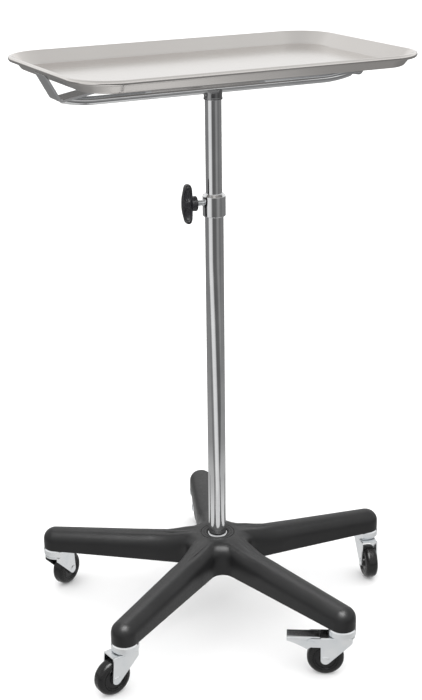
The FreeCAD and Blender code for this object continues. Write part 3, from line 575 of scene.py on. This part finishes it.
KNOB_FACE = 25.5 * MM
KNOB_HUB_RADIUS = 10.4 * MM
HANDLE_NEAR = 31.4 * MM
HANDLE_FAR = 46.0 * MM
HANDLE_HALF_HEIGHT = 27.2 * MM
HANDLE_HALF_THICK = 7.0 * MM
SCOOP_PLACE = 12.5 * MM
SCOOP_RADIUS = 8.0 * MM
SCOOP_DEPTH = 0.66
SCOOP_WIDTH_RATIO = 0.62
SCOOP_HEIGHT_RATIO = 1.12
SCREW_RADIUS = 4.0 * MM
SCREW_TIP = 12.95 * MM
SCREW_PITCH = 1.25 * MM


def clamp_place():
    """Frame with +Z out along the clamp screw from the mast's axis and +X up."""
    out = Vector(JOINTS["clamp_turn"]["axis"]).normalized()
    side = out.cross(UP)
    turn = Matrix((UP, side, out)).transposed().to_4x4()
    return Matrix.Translation((0, 0, JOINTS["clamp_turn"]["pos_m"][2])) @ turn


def make_screw():
    """Clamp screw with a rolled thread."""
    place = clamp_place()
    steps = 48
    per_turn = 10
    length = KNOB_FACE + 2 * MM - SCREW_TIP
    rows = int(length / SCREW_PITCH * per_turn)
    depth = 0.55 * MM
    vertices = []
    for row in range(rows + 1):
        z = SCREW_TIP + length * row / rows
        for step in range(steps):
            angle = 2 * math.pi * step / steps
            phase = (z / SCREW_PITCH - angle / (2 * math.pi)) % 1.0
            root = min(1.0, max(0.0, 1.6 * abs(2 * phase - 1) - 0.3))
            r = SCREW_RADIUS - 0.05 * MM - depth * (1 - root)
            if row == 0 or row == rows:
                r = SCREW_RADIUS - 0.8 * MM
            vertices.append(place @ Vector((r * math.cos(angle), r * math.sin(angle), z)))
    faces = ring_faces(rows + 1, steps)
    faces.append(list(range(steps))[::-1])
    faces.append(list(range(rows * steps, (rows + 1) * steps)))
    return stand_in(new_object("clamp_screw_threaded", vertices, faces), "clamp_screw")


def knob_outline(steps):
    """Closed outline of the T handle, as (distance out, height), symmetric about the screw."""
    middle = (HANDLE_NEAR + HANDLE_FAR) / 2
    upper = [
        (HANDLE_NEAR, 0.0),
        (HANDLE_NEAR + 0.2 * MM, 0.45 * HANDLE_HALF_HEIGHT),
        (HANDLE_NEAR + 0.9 * MM, 0.80 * HANDLE_HALF_HEIGHT),
        (HANDLE_NEAR + 3.0 * MM, 0.97 * HANDLE_HALF_HEIGHT),
        (middle - 0.6 * MM, HANDLE_HALF_HEIGHT),
        (middle + 2.6 * MM, 0.92 * HANDLE_HALF_HEIGHT),
        (HANDLE_FAR - 2.4 * MM, 0.66 * HANDLE_HALF_HEIGHT),
        (HANDLE_FAR - 0.7 * MM, 0.34 * HANDLE_HALF_HEIGHT),
        (HANDLE_FAR, 0.0),
    ]
    knots = upper + [(x, -z) for x, z in upper[-2:0:-1]]
    count = len(knots)
    points = []
    for index in range(count):
        p0, p1, p2, p3 = (Vector(knots[(index + k - 1) % count]) for k in range(4))
        for step in range(steps):
            t = step / steps
            points.append(0.5 * ((2 * p1) + (p2 - p0) * t + (2 * p0 - 5 * p1 + 4 * p2 - p3) * t * t
                                 + (3 * p1 - p0 - 3 * p2 + p3) * t ** 3))
    return points


def make_knob():
    """T handle with soft edges and two finger scoops on each face, on a round hub."""
    place = clamp_place()
    middle = (HANDLE_NEAR + HANDLE_FAR) / 2
    outline = knob_outline(6)
    half_rows = 16
    vertices = []
    rows = 2 * half_rows + 1
    for row in range(rows):
        angle = math.pi / 2 * (row / half_rows - 1)
        shrink = max(math.cos(angle), 0.0) ** 0.42
        thick = math.copysign(abs(math.sin(angle)) ** 0.55, angle)
        for point in outline:
            core = Vector((middle, 0.55 * point.y))
            here = core + (point - core) * shrink
            scoop = 0.0
            for end in (-1, 1):
                gap = math.hypot((here.x - middle - 0.6 * MM) / SCOOP_WIDTH_RATIO,
                                 (here.y - end * SCOOP_PLACE) / SCOOP_HEIGHT_RATIO)
                scoop += SCOOP_DEPTH * math.exp(-(gap / SCOOP_RADIUS) ** 6)
            waist = 0.80 + 0.20 * min(1.0, abs(here.y) / HANDLE_HALF_HEIGHT * 2.2)
            y = HANDLE_HALF_THICK * thick * waist * (1 - scoop)
            vertices.append(place @ Vector((here.y, y, here.x)))
    faces = ring_faces(rows, len(outline))
    count = len(outline)
    for start in (0, (rows - 1) * count):
        faces.append([start + k for k in range(count)])
    handle = new_object("clamp_handle", vertices, faces)
    smooth = handle.modifiers.new("smooth", "SUBSURF")
    smooth.levels = 1
    smooth.render_levels = 1
    finish_piece(handle, "clamp_knob", MATERIALS["knob_plastic"], "knob_plastic", "clamp_knob")
    hub = lathe("clamp_handle_hub", [
        (SCREW_RADIUS, KNOB_FACE + 1.0 * MM),
        (SCREW_RADIUS + 1.2 * MM, KNOB_FACE),
        (KNOB_HUB_RADIUS - 0.5 * MM, KNOB_FACE),
        (KNOB_HUB_RADIUS, KNOB_FACE + 0.5 * MM),
        (KNOB_HUB_RADIUS - 0.4 * MM, HANDLE_NEAR + 2 * MM),
        (SCREW_RADIUS, HANDLE_NEAR + 2 * MM),
    ], place, closed=True)
    finish_piece(hub, "clamp_knob", MATERIALS["knob_plastic"], "knob_plastic", "clamp_knob")


# --- Base star ----------------------------------------------------------------------------------

LEGS = 5
STEM_CIRCLE = Vector(JOINTS["swivel_right"]["pos_m"]).xy.length
FIRST_LEG = math.atan2(*reversed(Vector(JOINTS["swivel_front_right"]["pos_m"]).xy))
HUB_BOTTOM = 75.5 * MM
HUB_TOP = 120.7 * MM
HUB_FLAT = 30 * MM
LEG_ROOT_HALF = 22.5 * MM
LEG_TIP_HALF = 18.5 * MM
LEG_ROOT_TOP = 118.3 * MM
LEG_TIP_TOP = 101.8 * MM
LEG_TIP_BOTTOM = 71.5 * MM
RIDGE_HALF = 0.6 * MM
CROTCH_RADIUS = 18 * MM
BASE_WALL = 3.4 * MM
ROOF_WALL = 4.4 * MM
CAP_RADIUS = 24.6 * MM
CAP_THICK = 3 * MM
FOOT_RING_RADIUS = 14.62 * MM
FOOT_RING_DROP = 8 * MM
TUBE_RADIUS = 12.72 * MM
HUB_FLOOR = 81.5 * MM
BOLT_HOLE = 5.3 * MM
TUBE_BOSS = 18.5 * MM
STEM_BOSS = 10.5 * MM
STEM_HOLE = 5.52 * MM
RIB_HALF = 1.2 * MM
RIB_FOOT = 77.5 * MM
RIB_STATIONS = (85 * MM, 125 * MM, 165 * MM, 205 * MM)
HUB_SLOPE = 38 * MM
HUB_FLARE = 70 * MM
STEM_BOSS_HEIGHT = 26 * MM
TRIM_RADIUS = 24.2 * MM
TRIM_HOLE = 15.6 * MM
TIP_STEPS = 10
SIDE_STEPS = 21
CROTCH_STEPS = 10
SHOULDER_STEPS = 12
TONGUE = 6


def ease(value):
    """Smooth step from 0 to 1."""
    t = min(1.0, max(0.0, value))
    return t * t * (3 - 2 * t)


def between(tip, root, distance):
    """Height at a distance from the mast, on a line from the root to the tip of a leg."""
    return root + (tip - root) * min(1.0, distance / STEM_CIRCLE)


def ridge(distance, drop=0.0):
    """Height of the star's top at a distance from the mast."""
    rise = HUB_TOP - between(LEG_TIP_TOP, LEG_ROOT_TOP, HUB_FLAT)
    share = 1 - ease((distance - HUB_FLAT) / HUB_SLOPE)
    return between(LEG_TIP_TOP, LEG_ROOT_TOP, distance) + rise * share - drop


def half_leg(inset):
    """Outline of half a leg along +X, from its tip to the bisector, as (edge, ridge) points."""
    root = LEG_ROOT_HALF - inset
    tip = LEG_TIP_HALF - inset
    crotch = CROTCH_RADIUS + inset
    slope = (tip - root) / STEM_CIRCLE
    bisector = math.pi / LEGS
    reach = (crotch * math.hypot(1, slope) + root) / (math.sin(bisector)
                                                      - slope * math.cos(bisector))
    centre = Vector((reach * math.cos(bisector), reach * math.sin(bisector)))
    lean = Vector((slope, -1)).normalized()
    touch = centre + crotch * lean
    points = []
    for step in range(TIP_STEPS):
        angle = math.pi / 2 * step / TIP_STEPS
        edge = Vector((STEM_CIRCLE + tip * math.cos(angle), tip * math.sin(angle)))
        crest = Vector((STEM_CIRCLE + RIDGE_HALF * math.cos(angle), RIDGE_HALF * math.sin(angle)))
        points.append((edge, crest))
    for step in range(SIDE_STEPS):
        x = STEM_CIRCLE + (touch.x - STEM_CIRCLE) * step / (SIDE_STEPS - 1)
        edge = Vector((x, root + slope * x))
        on_hub = edge.normalized() * (HUB_FLAT - 0.5 * inset)
        share = ease((x - touch.x) / HUB_FLARE)
        points.append((edge, Vector((x, RIDGE_HALF)).lerp(on_hub, 1 - share)))
    start = math.atan2(lean.y, lean.x)
    end = bisector - math.pi
    for step in range(1, CROTCH_STEPS + 1):
        angle = start + (end - start) * step / CROTCH_STEPS
        edge = centre + crotch * Vector((math.cos(angle), math.sin(angle)))
        points.append((edge, edge.normalized() * (HUB_FLAT - 0.5 * inset)))
    return points


def star_skin(inset, drop, edge_round):
    """Rows of one skin of the star, from its foot to its ridge, and the tongues of its top."""
    half = half_leg(inset)
    whole = [(Vector((e.x, -e.y)), Vector((s.x, -s.y))) for e, s in reversed(half[1:])] + half
    whole = whole[1:]
    columns = []
    for leg in range(LEGS):
        turn = Matrix.Rotation(FIRST_LEG + 2 * math.pi * leg / LEGS, 2)
        columns += [(turn @ edge, turn @ top) for edge, top in whole]
    rows = [[] for _ in range(SHOULDER_STEPS + 5)]
    for edge, top in columns:
        crest = ridge(top.length, drop)
        span = (edge - top).length
        shoulder = crest - span * 0.98
        toward = (top - edge).normalized()
        foot = edge + toward * edge_round
        low = between(LEG_TIP_BOTTOM, HUB_BOTTOM, edge.length)
        rows[0].append((*foot, low))
        rows[1].append((*(edge + toward * 0.3 * edge_round), low + 0.3 * edge_round))
        rows[2].append((*edge, low + edge_round))
        rows[3].append((*edge, (low + shoulder) / 2))
        for step in range(SHOULDER_STEPS + 1):
            angle = math.pi / 2 * step / SHOULDER_STEPS
            here = top + (edge - top) * math.cos(angle) ** 0.92
            rows[4 + step].append((*here, shoulder + (crest - shoulder) * math.sin(angle) ** 0.94))
    return rows, len(whole)


def star_mesh(vertices, faces, inset, drop, edge_round):
    """Add one skin to the mesh. Returns its foot row and the loop of vertices round the hub."""
    rows, per_leg = star_skin(inset, drop, edge_round)
    total = len(rows[0])
    start = len(vertices)
    for row in rows:
        vertices.extend(row)
    for foot in range(start, start + (len(rows) - 1) * total, total):
        stitch(faces, range(foot, foot + total), range(foot + total, foot + 2 * total))
    crest = start + (len(rows) - 1) * total
    tip = per_leg // 2
    hub_loop = []
    for leg in range(LEGS):
        base = crest + leg * per_leg
        strips = []
        for step in range(SIDE_STEPS):
            plus = vertices[base + tip + TIP_STEPS + step]
            minus = vertices[base + tip - TIP_STEPS - step]
            strip = []
            for part in range(TONGUE + 1):
                point = Vector(minus).lerp(Vector(plus), part / TONGUE)
                strip.append(len(vertices))
                vertices.append(tuple(point))
            strips.append(strip)
        for first, second in zip(strips, strips[1:]):
            for part in range(TONGUE):
                faces.append((first[part], first[part + 1], second[part + 1], second[part]))
        faces.append([base + column for column in range(tip - TIP_STEPS, tip + TIP_STEPS + 1)]
                     + strips[0][-2:0:-1])
        touch = tip - TIP_STEPS - SIDE_STEPS + 1
        hub_loop += [base + column for column in range(touch)]
        hub_loop += strips[-1]
        hub_loop += [base + column for column in range(tip + TIP_STEPS + SIDE_STEPS, per_leg)]
    return start, total, hub_loop


def make_star():
    """Moulded star as one closed shell: outer skin, mouth for the mast, boss and inner skin."""
    vertices = []
    faces = []
    foot, total, outer_loop = star_mesh(vertices, faces, 0.0, 0.0, 0.8 * MM)
    inner_foot, _, inner_loop = star_mesh(vertices, faces, BASE_WALL, ROOF_WALL, 0.4 * MM)
    stitch(faces, range(foot, foot + total), range(inner_foot, inner_foot + total))
    lip = 0.5 * MM
    profile = [
        (CAP_RADIUS + lip, HUB_TOP), (CAP_RADIUS, HUB_TOP - lip),
        (CAP_RADIUS, HUB_TOP - CAP_THICK),
        (FOOT_RING_RADIUS, HUB_TOP - CAP_THICK), (FOOT_RING_RADIUS, HUB_TOP - FOOT_RING_DROP),
        (TUBE_RADIUS, HUB_TOP - FOOT_RING_DROP), (TUBE_RADIUS, HUB_FLOOR), (BOLT_HOLE, HUB_FLOOR),
        (BOLT_HOLE, HUB_BOTTOM), (TUBE_BOSS - lip, HUB_BOTTOM), (TUBE_BOSS, HUB_BOTTOM + lip),
        (TUBE_BOSS, HUB_TOP - ROOF_WALL),
    ]
    loop = outer_loop
    for radius, z in profile:
        ahead = []
        for index in outer_loop:
            direction = Vector(vertices[index][:2]).normalized()
            ahead.append(len(vertices))
            vertices.append((radius * direction.x, radius * direction.y, z))
        stitch(faces, loop, ahead)
        loop = ahead
    stitch(faces, loop, inner_loop)
    star = weighted(new_object("base_star_shell", vertices, faces))
    stand_in(star, "base_star")


def plate(name, outline, place, half):
    """Flat plate from an outline of (a, b) points, 2 * half thick about the plane of place."""
    count = len(outline)
    vertices = [place @ Vector((a, b, side * half)) for side in (-1, 1) for a, b in outline]
    faces = ring_faces(2, count) + [list(range(count))[::-1], list(range(count, 2 * count))]
    return weighted(new_object(name, vertices, faces, smooth=False))


def make_ribs():
    """Cross ribs, a long rib and a stem boss inside each leg."""
    for leg, name in enumerate(CASTERS):
        turn = Matrix.Rotation(FIRST_LEG + 2 * math.pi * leg / LEGS, 4, "Z")
        plates = []
        for station in RIB_STATIONS:
            share = station / STEM_CIRCLE
            half = LEG_ROOT_HALF + (LEG_TIP_HALF - LEG_ROOT_HALF) * share - BASE_WALL * 0.8
            crest = ridge(station, ROOF_WALL * 0.75)
            outline = [(-half, RIB_FOOT), (half, RIB_FOOT)]
            for step in range(13):
                angle = math.pi * step / 12
                outline.append((half * math.cos(angle), crest - half + half * math.sin(angle)))
            across = Matrix(((0, 0, 1, station), (1, 0, 0, 0), (0, 1, 0, 0), (0, 0, 0, 1)))
            plates.append(plate("rib", outline, turn @ across, RIB_HALF))
        long_outline = [(TUBE_BOSS - MM, RIB_FOOT), (STEM_CIRCLE - STEM_BOSS + MM, RIB_FOOT)]
        for step in range(13):
            x = STEM_CIRCLE - STEM_BOSS + MM - (STEM_CIRCLE - STEM_BOSS - TUBE_BOSS) * step / 12
            long_outline.append((x, ridge(x, ROOF_WALL / 2)))
        along = Matrix(((1, 0, 0, 0), (0, 0, -1, 0), (0, 1, 0, 0), (0, 0, 0, 1)))
        plates.append(plate("rib", long_outline, turn @ along, RIB_HALF))
        ribs = join(plates, "leg_ribs_" + name)
        finish_piece(ribs, "base", MATERIALS["base_plastic"], "base_plastic")
        boss = lathe("stem_boss_" + name, [
            (STEM_HOLE, LEG_TIP_BOTTOM + 0.05 * MM), (STEM_BOSS, LEG_TIP_BOTTOM + 0.05 * MM),
            (STEM_BOSS, LEG_TIP_BOTTOM + STEM_BOSS_HEIGHT),
            (STEM_HOLE, LEG_TIP_BOTTOM + STEM_BOSS_HEIGHT),
        ], turn @ Matrix.Translation((STEM_CIRCLE, 0, 0)), steps=48, closed=True)
        finish_piece(boss, "base", MATERIALS["base_plastic"], "base_plastic")


def join(things, name):
    """One object from several meshes that share a place."""
    work = bmesh.new()
    for thing in things:
        work.from_mesh(thing.data)
    mesh = bpy.data.meshes.new(name)
    work.to_mesh(mesh)
    work.free()
    for thing in things:
        bpy.data.objects.remove(thing)
    joined = bpy.data.objects.new(name, mesh)
    bpy.context.scene.collection.objects.link(joined)
    return joined


def make_hub_rings():
    """Trim ring on the hub and plated ring round the foot of the mast."""
    cap = TRIM_RADIUS
    hole = TRIM_HOLE
    top = HUB_TOP
    foot = top - CAP_THICK
    stand_in(lathe("hub_trim", [
        (hole, foot), (cap, foot), (cap, top - 0.5 * MM), (cap - 0.5 * MM, top),
        (cap - 3.2 * MM, top), (cap - 3.6 * MM, top - 0.5 * MM), (cap - 4.2 * MM, top - 0.5 * MM),
        (cap - 4.6 * MM, top), (hole + 1.6 * MM, top), (hole, top - 1.6 * MM),
    ], radius=0.3 * MM, closed=True), "hub_cap")
    bore = TUBE_RADIUS
    ring = FOOT_RING_RADIUS
    stand_in(lathe("mast_foot_ring", [
        (bore, top - 7.9 * MM), (ring, top - 7.9 * MM), (ring, top - 2.0 * MM),
        (ring - 0.9 * MM, top - 0.7 * MM), (bore, top - 0.7 * MM),
    ], radius=0.5 * MM, closed=True), "foot_ring")


# --- Casters ------------------------------------------------------------------------------------

WHEEL_RADIUS = 25.4 * MM
WHEEL_HALF = 9.4 * MM
CORE_RADIUS = 15.5 * MM
AXLE_RADIUS = 4.05 * MM
FORK_FACE = 12.82 * MM
FORK_FOOT = 57.5 * MM
SHANK_RADIUS = 4 * MM
CUP_RADIUS = 19 * MM
CUP_SHEET = 1.7 * MM
CUP_FOOT = 61.1 * MM
CUP_CEILING = 65.94 * MM
STEM_RADIUS = 5.5 * MM
STEM_TOP = 97.7 * MM
STEM_HEAD = 6.2 * MM
AXLE_HEAD = 5.8 * MM
CORE_HUB = 7.6 * MM
TREAD_START = 18.6 * MM
TREAD_FLAT = 3.0 * MM


def caster_frames(name):
    """Frames on the stem's foot, with +X towards the wheel, and on the axle, with +Z along it."""
    stem = Vector(JOINTS["swivel_" + name]["pos_m"])
    hub = Vector(JOINTS["roll_" + name]["pos_m"])
    ahead = (hub - stem).to_2d().to_3d().normalized()
    axle = UP.cross(ahead)
    on_stem = Matrix((ahead, axle, UP)).transposed().to_4x4()
    on_stem.translation = (stem.x, stem.y, 0)
    on_axle = Matrix((ahead, -UP, axle)).transposed().to_4x4()
    on_axle.translation = hub
    return on_stem, on_axle


def both_sides(side):
    """Profile of a part that is the same on both sides, from one side's outward corners."""
    return side + [(r, -z) for r, z in reversed(side)]


def make_caster(name):
    """Cup and stem, rivet, wheel core and tyre of one caster."""
    on_stem, on_axle = caster_frames(name)
    base = LEG_TIP_BOTTOM - 0.02 * MM
    stem = lathe("stem_turned_" + name, [
        (0, FORK_FOOT - 3.4 * MM), (3.0 * MM, FORK_FOOT - 3.2 * MM),
        (5.6 * MM, FORK_FOOT - 2.2 * MM), (STEM_HEAD, FORK_FOOT - 0.9 * MM),
        (STEM_HEAD, FORK_FOOT - 0.05 * MM), (SHANK_RADIUS, FORK_FOOT - 0.05 * MM),
        (SHANK_RADIUS, CUP_CEILING), (CUP_RADIUS - CUP_SHEET, CUP_CEILING),
        (CUP_RADIUS - CUP_SHEET, CUP_FOOT), (CUP_RADIUS - 0.5 * MM, CUP_FOOT),
        (CUP_RADIUS, CUP_FOOT + 0.9 * MM), (CUP_RADIUS, base - 2.2 * MM),
        (CUP_RADIUS - 1.4 * MM, base), (STEM_RADIUS, base),
        (STEM_RADIUS, STEM_TOP - 1.5 * MM), (STEM_RADIUS - 1.5 * MM, STEM_TOP), (0, STEM_TOP),
    ], on_stem, radius=0.5 * MM, steps=72)
    stand_in(stem, "stem_" + name)
    face = FORK_FACE
    axle = lathe("axle_rivet_" + name, [
        (0, -face - 1.4 * MM), (2.6 * MM, -face - 1.25 * MM), (4.6 * MM, -face - 0.75 * MM),
        (AXLE_HEAD, -face - 0.05 * MM), (5.6 * MM, -face), (AXLE_RADIUS - 0.05 * MM, -face),
        (AXLE_RADIUS - 0.05 * MM, face), (5.6 * MM, face), (AXLE_HEAD, face + 0.05 * MM),
        (4.6 * MM, face + 0.75 * MM), (2.6 * MM, face + 1.25 * MM), (0, face + 1.4 * MM),
    ], on_axle, radius=0.3 * MM, steps=48)
    stand_in(axle, "axle_" + name)
    half = WHEEL_HALF
    core = lathe("wheel_core_turned_" + name, both_sides([
        (AXLE_RADIUS, half + 0.8 * MM), (CORE_HUB, half + 0.8 * MM), (8.4 * MM, half - 1.6 * MM),
        (CORE_RADIUS - 1.6 * MM, half - 1.6 * MM), (CORE_RADIUS - 0.8 * MM, half - 0.1 * MM),
        (CORE_RADIUS, half - 0.1 * MM),
    ]), on_axle, radius=0.5 * MM, closed=True)
    stand_in(core, "wheel_core_" + name)
    tread = []
    for step in range(13):
        angle = math.pi / 2 * step / 12
        tread.append((TREAD_START + (WHEEL_RADIUS - TREAD_START) * math.sin(angle),
                      TREAD_FLAT + (half - TREAD_FLAT) * math.cos(angle)))
    tyre = lathe("tyre_turned_" + name, both_sides([
        (CORE_RADIUS + 0.02 * MM, half - 0.3 * MM), (16.3 * MM, half), (16.6 * MM, half),
        (16.9 * MM, half - 0.9 * MM), (17.3 * MM, half - 0.9 * MM), (17.6 * MM, half),
    ] + tread), on_axle, radius=0.25 * MM, closed=True)
    stand_in(tyre, "tyre_" + name)


# --- CAD nodes kept as they are -----------------------------------------------------------------

def keep(node):
    """Show a CAD node itself, with its material and softened edges."""
    thing = tidy_cad(node)
    thing.data.materials.clear()
    thing.data.materials.append(MATERIALS[SLOTS[node]])


KEPT = ["carrier_bracket_left", "carrier_bracket_right", "upper_glide", "tube_plug", "clamp_pad",
        "base_washer", "base_bolt", "stem_rings", "brake_pin", "brake_lever"]
KEPT += [part + name for name in CASTERS for part in ("fork_", "balls_")]


# --- Object -------------------------------------------------------------------------------------

make_tray()
make_spine()
make_socket()
make_tube("upper_tube", "mast_inner_tube")
make_tube("lower_tube", "mast_outer_tube")
make_collar()
make_screw()
make_knob()
make_star()
make_ribs()
make_hub_rings()
for caster in CASTERS:
    make_caster(caster)
for cad_node in KEPT:
    keep(cad_node)


# --- Setting ------------------------------------------------------------------------------------

FLOOR_REACH = 60.0
FLOOR_CORNERS = [(-FLOOR_REACH, -FLOOR_REACH, 0), (FLOOR_REACH, -FLOOR_REACH, 0),
                 (FLOOR_REACH, FLOOR_REACH, 0), (-FLOOR_REACH, FLOOR_REACH, 0)]


def make_floor():
    """Wide pale floor."""
    floor = new_object("studio_floor", FLOOR_CORNERS, [(0, 1, 2, 3)], smooth=False)
    finish = Finish("pale_floor", (0.86, 0.86, 0.86), 0.0, 0.65)
    cloud = finish.noise(3.0, 3.0)
    finish.colour_from(finish.mixed(finish.spread(cloud, 0, 1), (0.85, 0.85, 0.85),
                                    (0.88, 0.88, 0.88)))
    floor.data.materials.append(finish.material)


def area_light(name, place, target, width, height, power):
    """Soft rectangular light that faces a target."""
    data = bpy.data.lights.new(name, "AREA")
    data.shape = "RECTANGLE"
    data.size = width
    data.size_y = height
    data.energy = power
    light = bpy.data.objects.new(name, data)
    light.location = place
    light.rotation_euler = (Vector(target) - Vector(place)).to_track_quat("-Z", "Y").to_euler()
    bpy.context.scene.collection.objects.link(light)
    return light


# Each lamp's name, place, target, width, height and power.
LAMPS = [
    ("top", (-0.15, -0.25, 2.6), (0, 0, 0.1), 1.3, 1.3, 50),
    ("back", (0.6, 1.6, 2.4), (0, 0, 0.3), 1.4, 1.0, 12),
    ("front", (-0.55, -1.0, 2.4), (0, 0, 0.1), 1.9, 1.9, 110),
]
LIT_BY_LAMPS = ("base_plastic", "knob_plastic", "wheel_rubber", "wheel_plastic")


def light_only(lights, materials):
    """Let the lights fall only on the pieces of some materials, as a flag on a studio lamp does."""
    lit = bpy.data.collections.new("lit_by_lamps")
    for thing in list(bpy.context.scene.objects):
        if thing.type == "MESH" and thing.data.materials and thing.data.materials[0]:
            if thing.data.materials[0] in materials:
                lit.objects.link(thing)
    for light in lights:
        light.light_linking.receiver_collection = lit


def ramp(nodes, stops):
    """Colour ramp through (position, brightness) stops."""
    node = nodes.new("ShaderNodeValToRGB")
    node.color_ramp.interpolation = "EASE"
    while len(node.color_ramp.elements) < len(stops):
        node.color_ramp.elements.new(0.5)
    for element, (place, value) in zip(node.color_ramp.elements, stops):
        element.position = place
        element.color = (value, value, value, 1)
    return node


# Brightness that bright metal sees up in the room, from the floor's level to straight above.
ROOM_BY_HEIGHT = [(0.0, 0.40), (0.13, 0.98), (0.35, 0.98), (0.5, 0.82), (0.8, 0.72), (1.0, 0.60)]
ROOM_LIGHT = 1.72


def make_world():
    """Plain white room. Bright metal sees a softer grey ceiling in it."""
    world = bpy.data.worlds.new("studio")
    bpy.context.scene.world = world
    world.use_nodes = True
    nodes = world.node_tree.nodes
    links = world.node_tree.links
    nodes.clear()
    out = nodes.new("ShaderNodeOutputWorld")
    coords = nodes.new("ShaderNodeTexCoord")
    split = nodes.new("ShaderNodeSeparateXYZ")
    links.new(coords.outputs["Generated"], split.inputs[0])
    bands = ramp(nodes, ROOM_BY_HEIGHT)
    links.new(split.outputs["Z"], bands.inputs["Fac"])
    seen = nodes.new("ShaderNodeLightPath")
    choose = nodes.new("ShaderNodeMix")
    choose.data_type = "RGBA"
    links.new(seen.outputs["Is Glossy Ray"], choose.inputs[0])
    choose.inputs[6].default_value = (ROOM_LIGHT, ROOM_LIGHT, ROOM_LIGHT, 1)
    links.new(bands.outputs["Color"], choose.inputs[7])
    shine = nodes.new("ShaderNodeBackground")
    links.new(choose.outputs[2], shine.inputs["Color"])
    links.new(shine.outputs["Background"], out.inputs["Surface"])


CAMERA_PLACE = Vector((-0.8249, -1.6108, 1.0647))
CAMERA_LENS = 70.58
CAMERA_YAW = math.radians(-26.91)
CAMERA_TILT = math.radians(90 - 20.02)
CAMERA_ROLL = math.radians(-0.67)
CARD_LIFT = 0.4 * MM
CARD_NEAR = 0.37
CARD_REACH = 2.0
# What the mast sees on the floor: near it by distance, and further out by direction, where 0.5 is
# towards the camera, 0.25 its left and 0.75 its right.
CARD_BY_DISTANCE = [(0.0, 0.80), (0.15, 0.72), (0.24, 0.48), (0.32, 0.32), (0.6, 0.24), (1.0, 0.22)]
CARD_BY_HEADING = [(0.0, 0.30), (0.25, 0.16), (0.38, 0.22), (0.42, 0.85), (0.50, 0.80), (0.56, 0.12),
                   (0.64, 0.13), (0.71, 0.30), (0.80, 0.17), (1.0, 0.30)]
CARD_TWIST = 0.7
CARD_TWIST_END = 1.8
CARD_EDGE = 0.04


def make_card():
    """Dark card on the studio floor that only reflections see, as round any polished subject."""
    card = new_object("reflection_card", FLOOR_CORNERS, [(0, 1, 2, 3)], smooth=False)
    card.location.z = CARD_LIFT
    card.rotation_euler.z = -math.atan2(CAMERA_PLACE.x, CAMERA_PLACE.y) - math.pi
    material = bpy.data.materials.new("reflection_card")
    material.use_nodes = True
    nodes = material.node_tree.nodes
    links = material.node_tree.links
    nodes.clear()

    def math_node(operation, first, second=None):
        node = nodes.new("ShaderNodeMath")
        node.operation = operation
        for socket, value in zip(node.inputs, (first, second)):
            if isinstance(value, (int, float)):
                socket.default_value = value
            elif value is not None:
                links.new(value, socket)
        return node.outputs["Value"]

    coords = nodes.new("ShaderNodeTexCoord")
    split = nodes.new("ShaderNodeSeparateXYZ")
    links.new(coords.outputs["Object"], split.inputs[0])
    length = nodes.new("ShaderNodeVectorMath")
    length.operation = "LENGTH"
    links.new(coords.outputs["Object"], length.inputs[0])
    distance = length.outputs["Value"]
    forward = math_node("MULTIPLY", split.outputs["Y"], -1.0)
    heading = math_node("ARCTAN2", split.outputs["X"], forward)
    turning = math_node("SUBTRACT", math_node("MINIMUM", distance, CARD_TWIST_END),
                        CARD_TWIST_END / 2)
    twist = math_node("MULTIPLY", turning, CARD_TWIST)
    turned = math_node("DIVIDE", math_node("ADD", heading, twist), 2 * math.pi)
    by_heading = ramp(nodes, CARD_BY_HEADING)
    links.new(math_node("FRACT", math_node("ADD", turned, 0.5)), by_heading.inputs["Fac"])
    by_distance = ramp(nodes, CARD_BY_DISTANCE)
    links.new(math_node("DIVIDE", distance, CARD_REACH), by_distance.inputs["Fac"])
    edge = math_node("DIVIDE", math_node("SUBTRACT", forward, CARD_NEAR - CARD_EDGE),
                     2 * CARD_EDGE)
    choose = nodes.new("ShaderNodeMix")
    choose.data_type = "RGBA"
    links.new(math_node("MINIMUM", math_node("MAXIMUM", edge, 0.0), 1.0), choose.inputs[0])
    links.new(by_distance.outputs["Color"], choose.inputs[6])
    links.new(by_heading.outputs["Color"], choose.inputs[7])
    shine = nodes.new("ShaderNodeEmission")
    links.new(choose.outputs[2], shine.inputs["Color"])
    out = nodes.new("ShaderNodeOutputMaterial")
    links.new(shine.outputs["Emission"], out.inputs["Surface"])
    card.data.materials.append(material)
    card.visible_camera = False
    card.visible_diffuse = False
    card.visible_shadow = False
    card.visible_transmission = False


def make_camera():
    """Camera a little above the tray, to the left of the object's front."""
    data = bpy.data.cameras.new("camera")
    data.lens = CAMERA_LENS
    data.sensor_width = 36.0
    data.sensor_fit = "AUTO"
    data.clip_end = 200
    camera = bpy.data.objects.new("camera", data)
    turn = (Matrix.Rotation(CAMERA_YAW, 4, "Z") @ Matrix.Rotation(CAMERA_TILT, 4, "X")
            @ Matrix.Rotation(CAMERA_ROLL, 4, "Z"))
    camera.matrix_world = Matrix.Translation(CAMERA_PLACE) @ turn
    bpy.context.scene.collection.objects.link(camera)
    bpy.context.scene.camera = camera


make_floor()
make_card()
make_world()
make_camera()
lamps = [area_light(*lamp) for lamp in LAMPS]
light_only(lamps, [MATERIALS[name] for name in LIT_BY_LAMPS])
bpy.context.scene.view_settings.view_transform = "Standard"
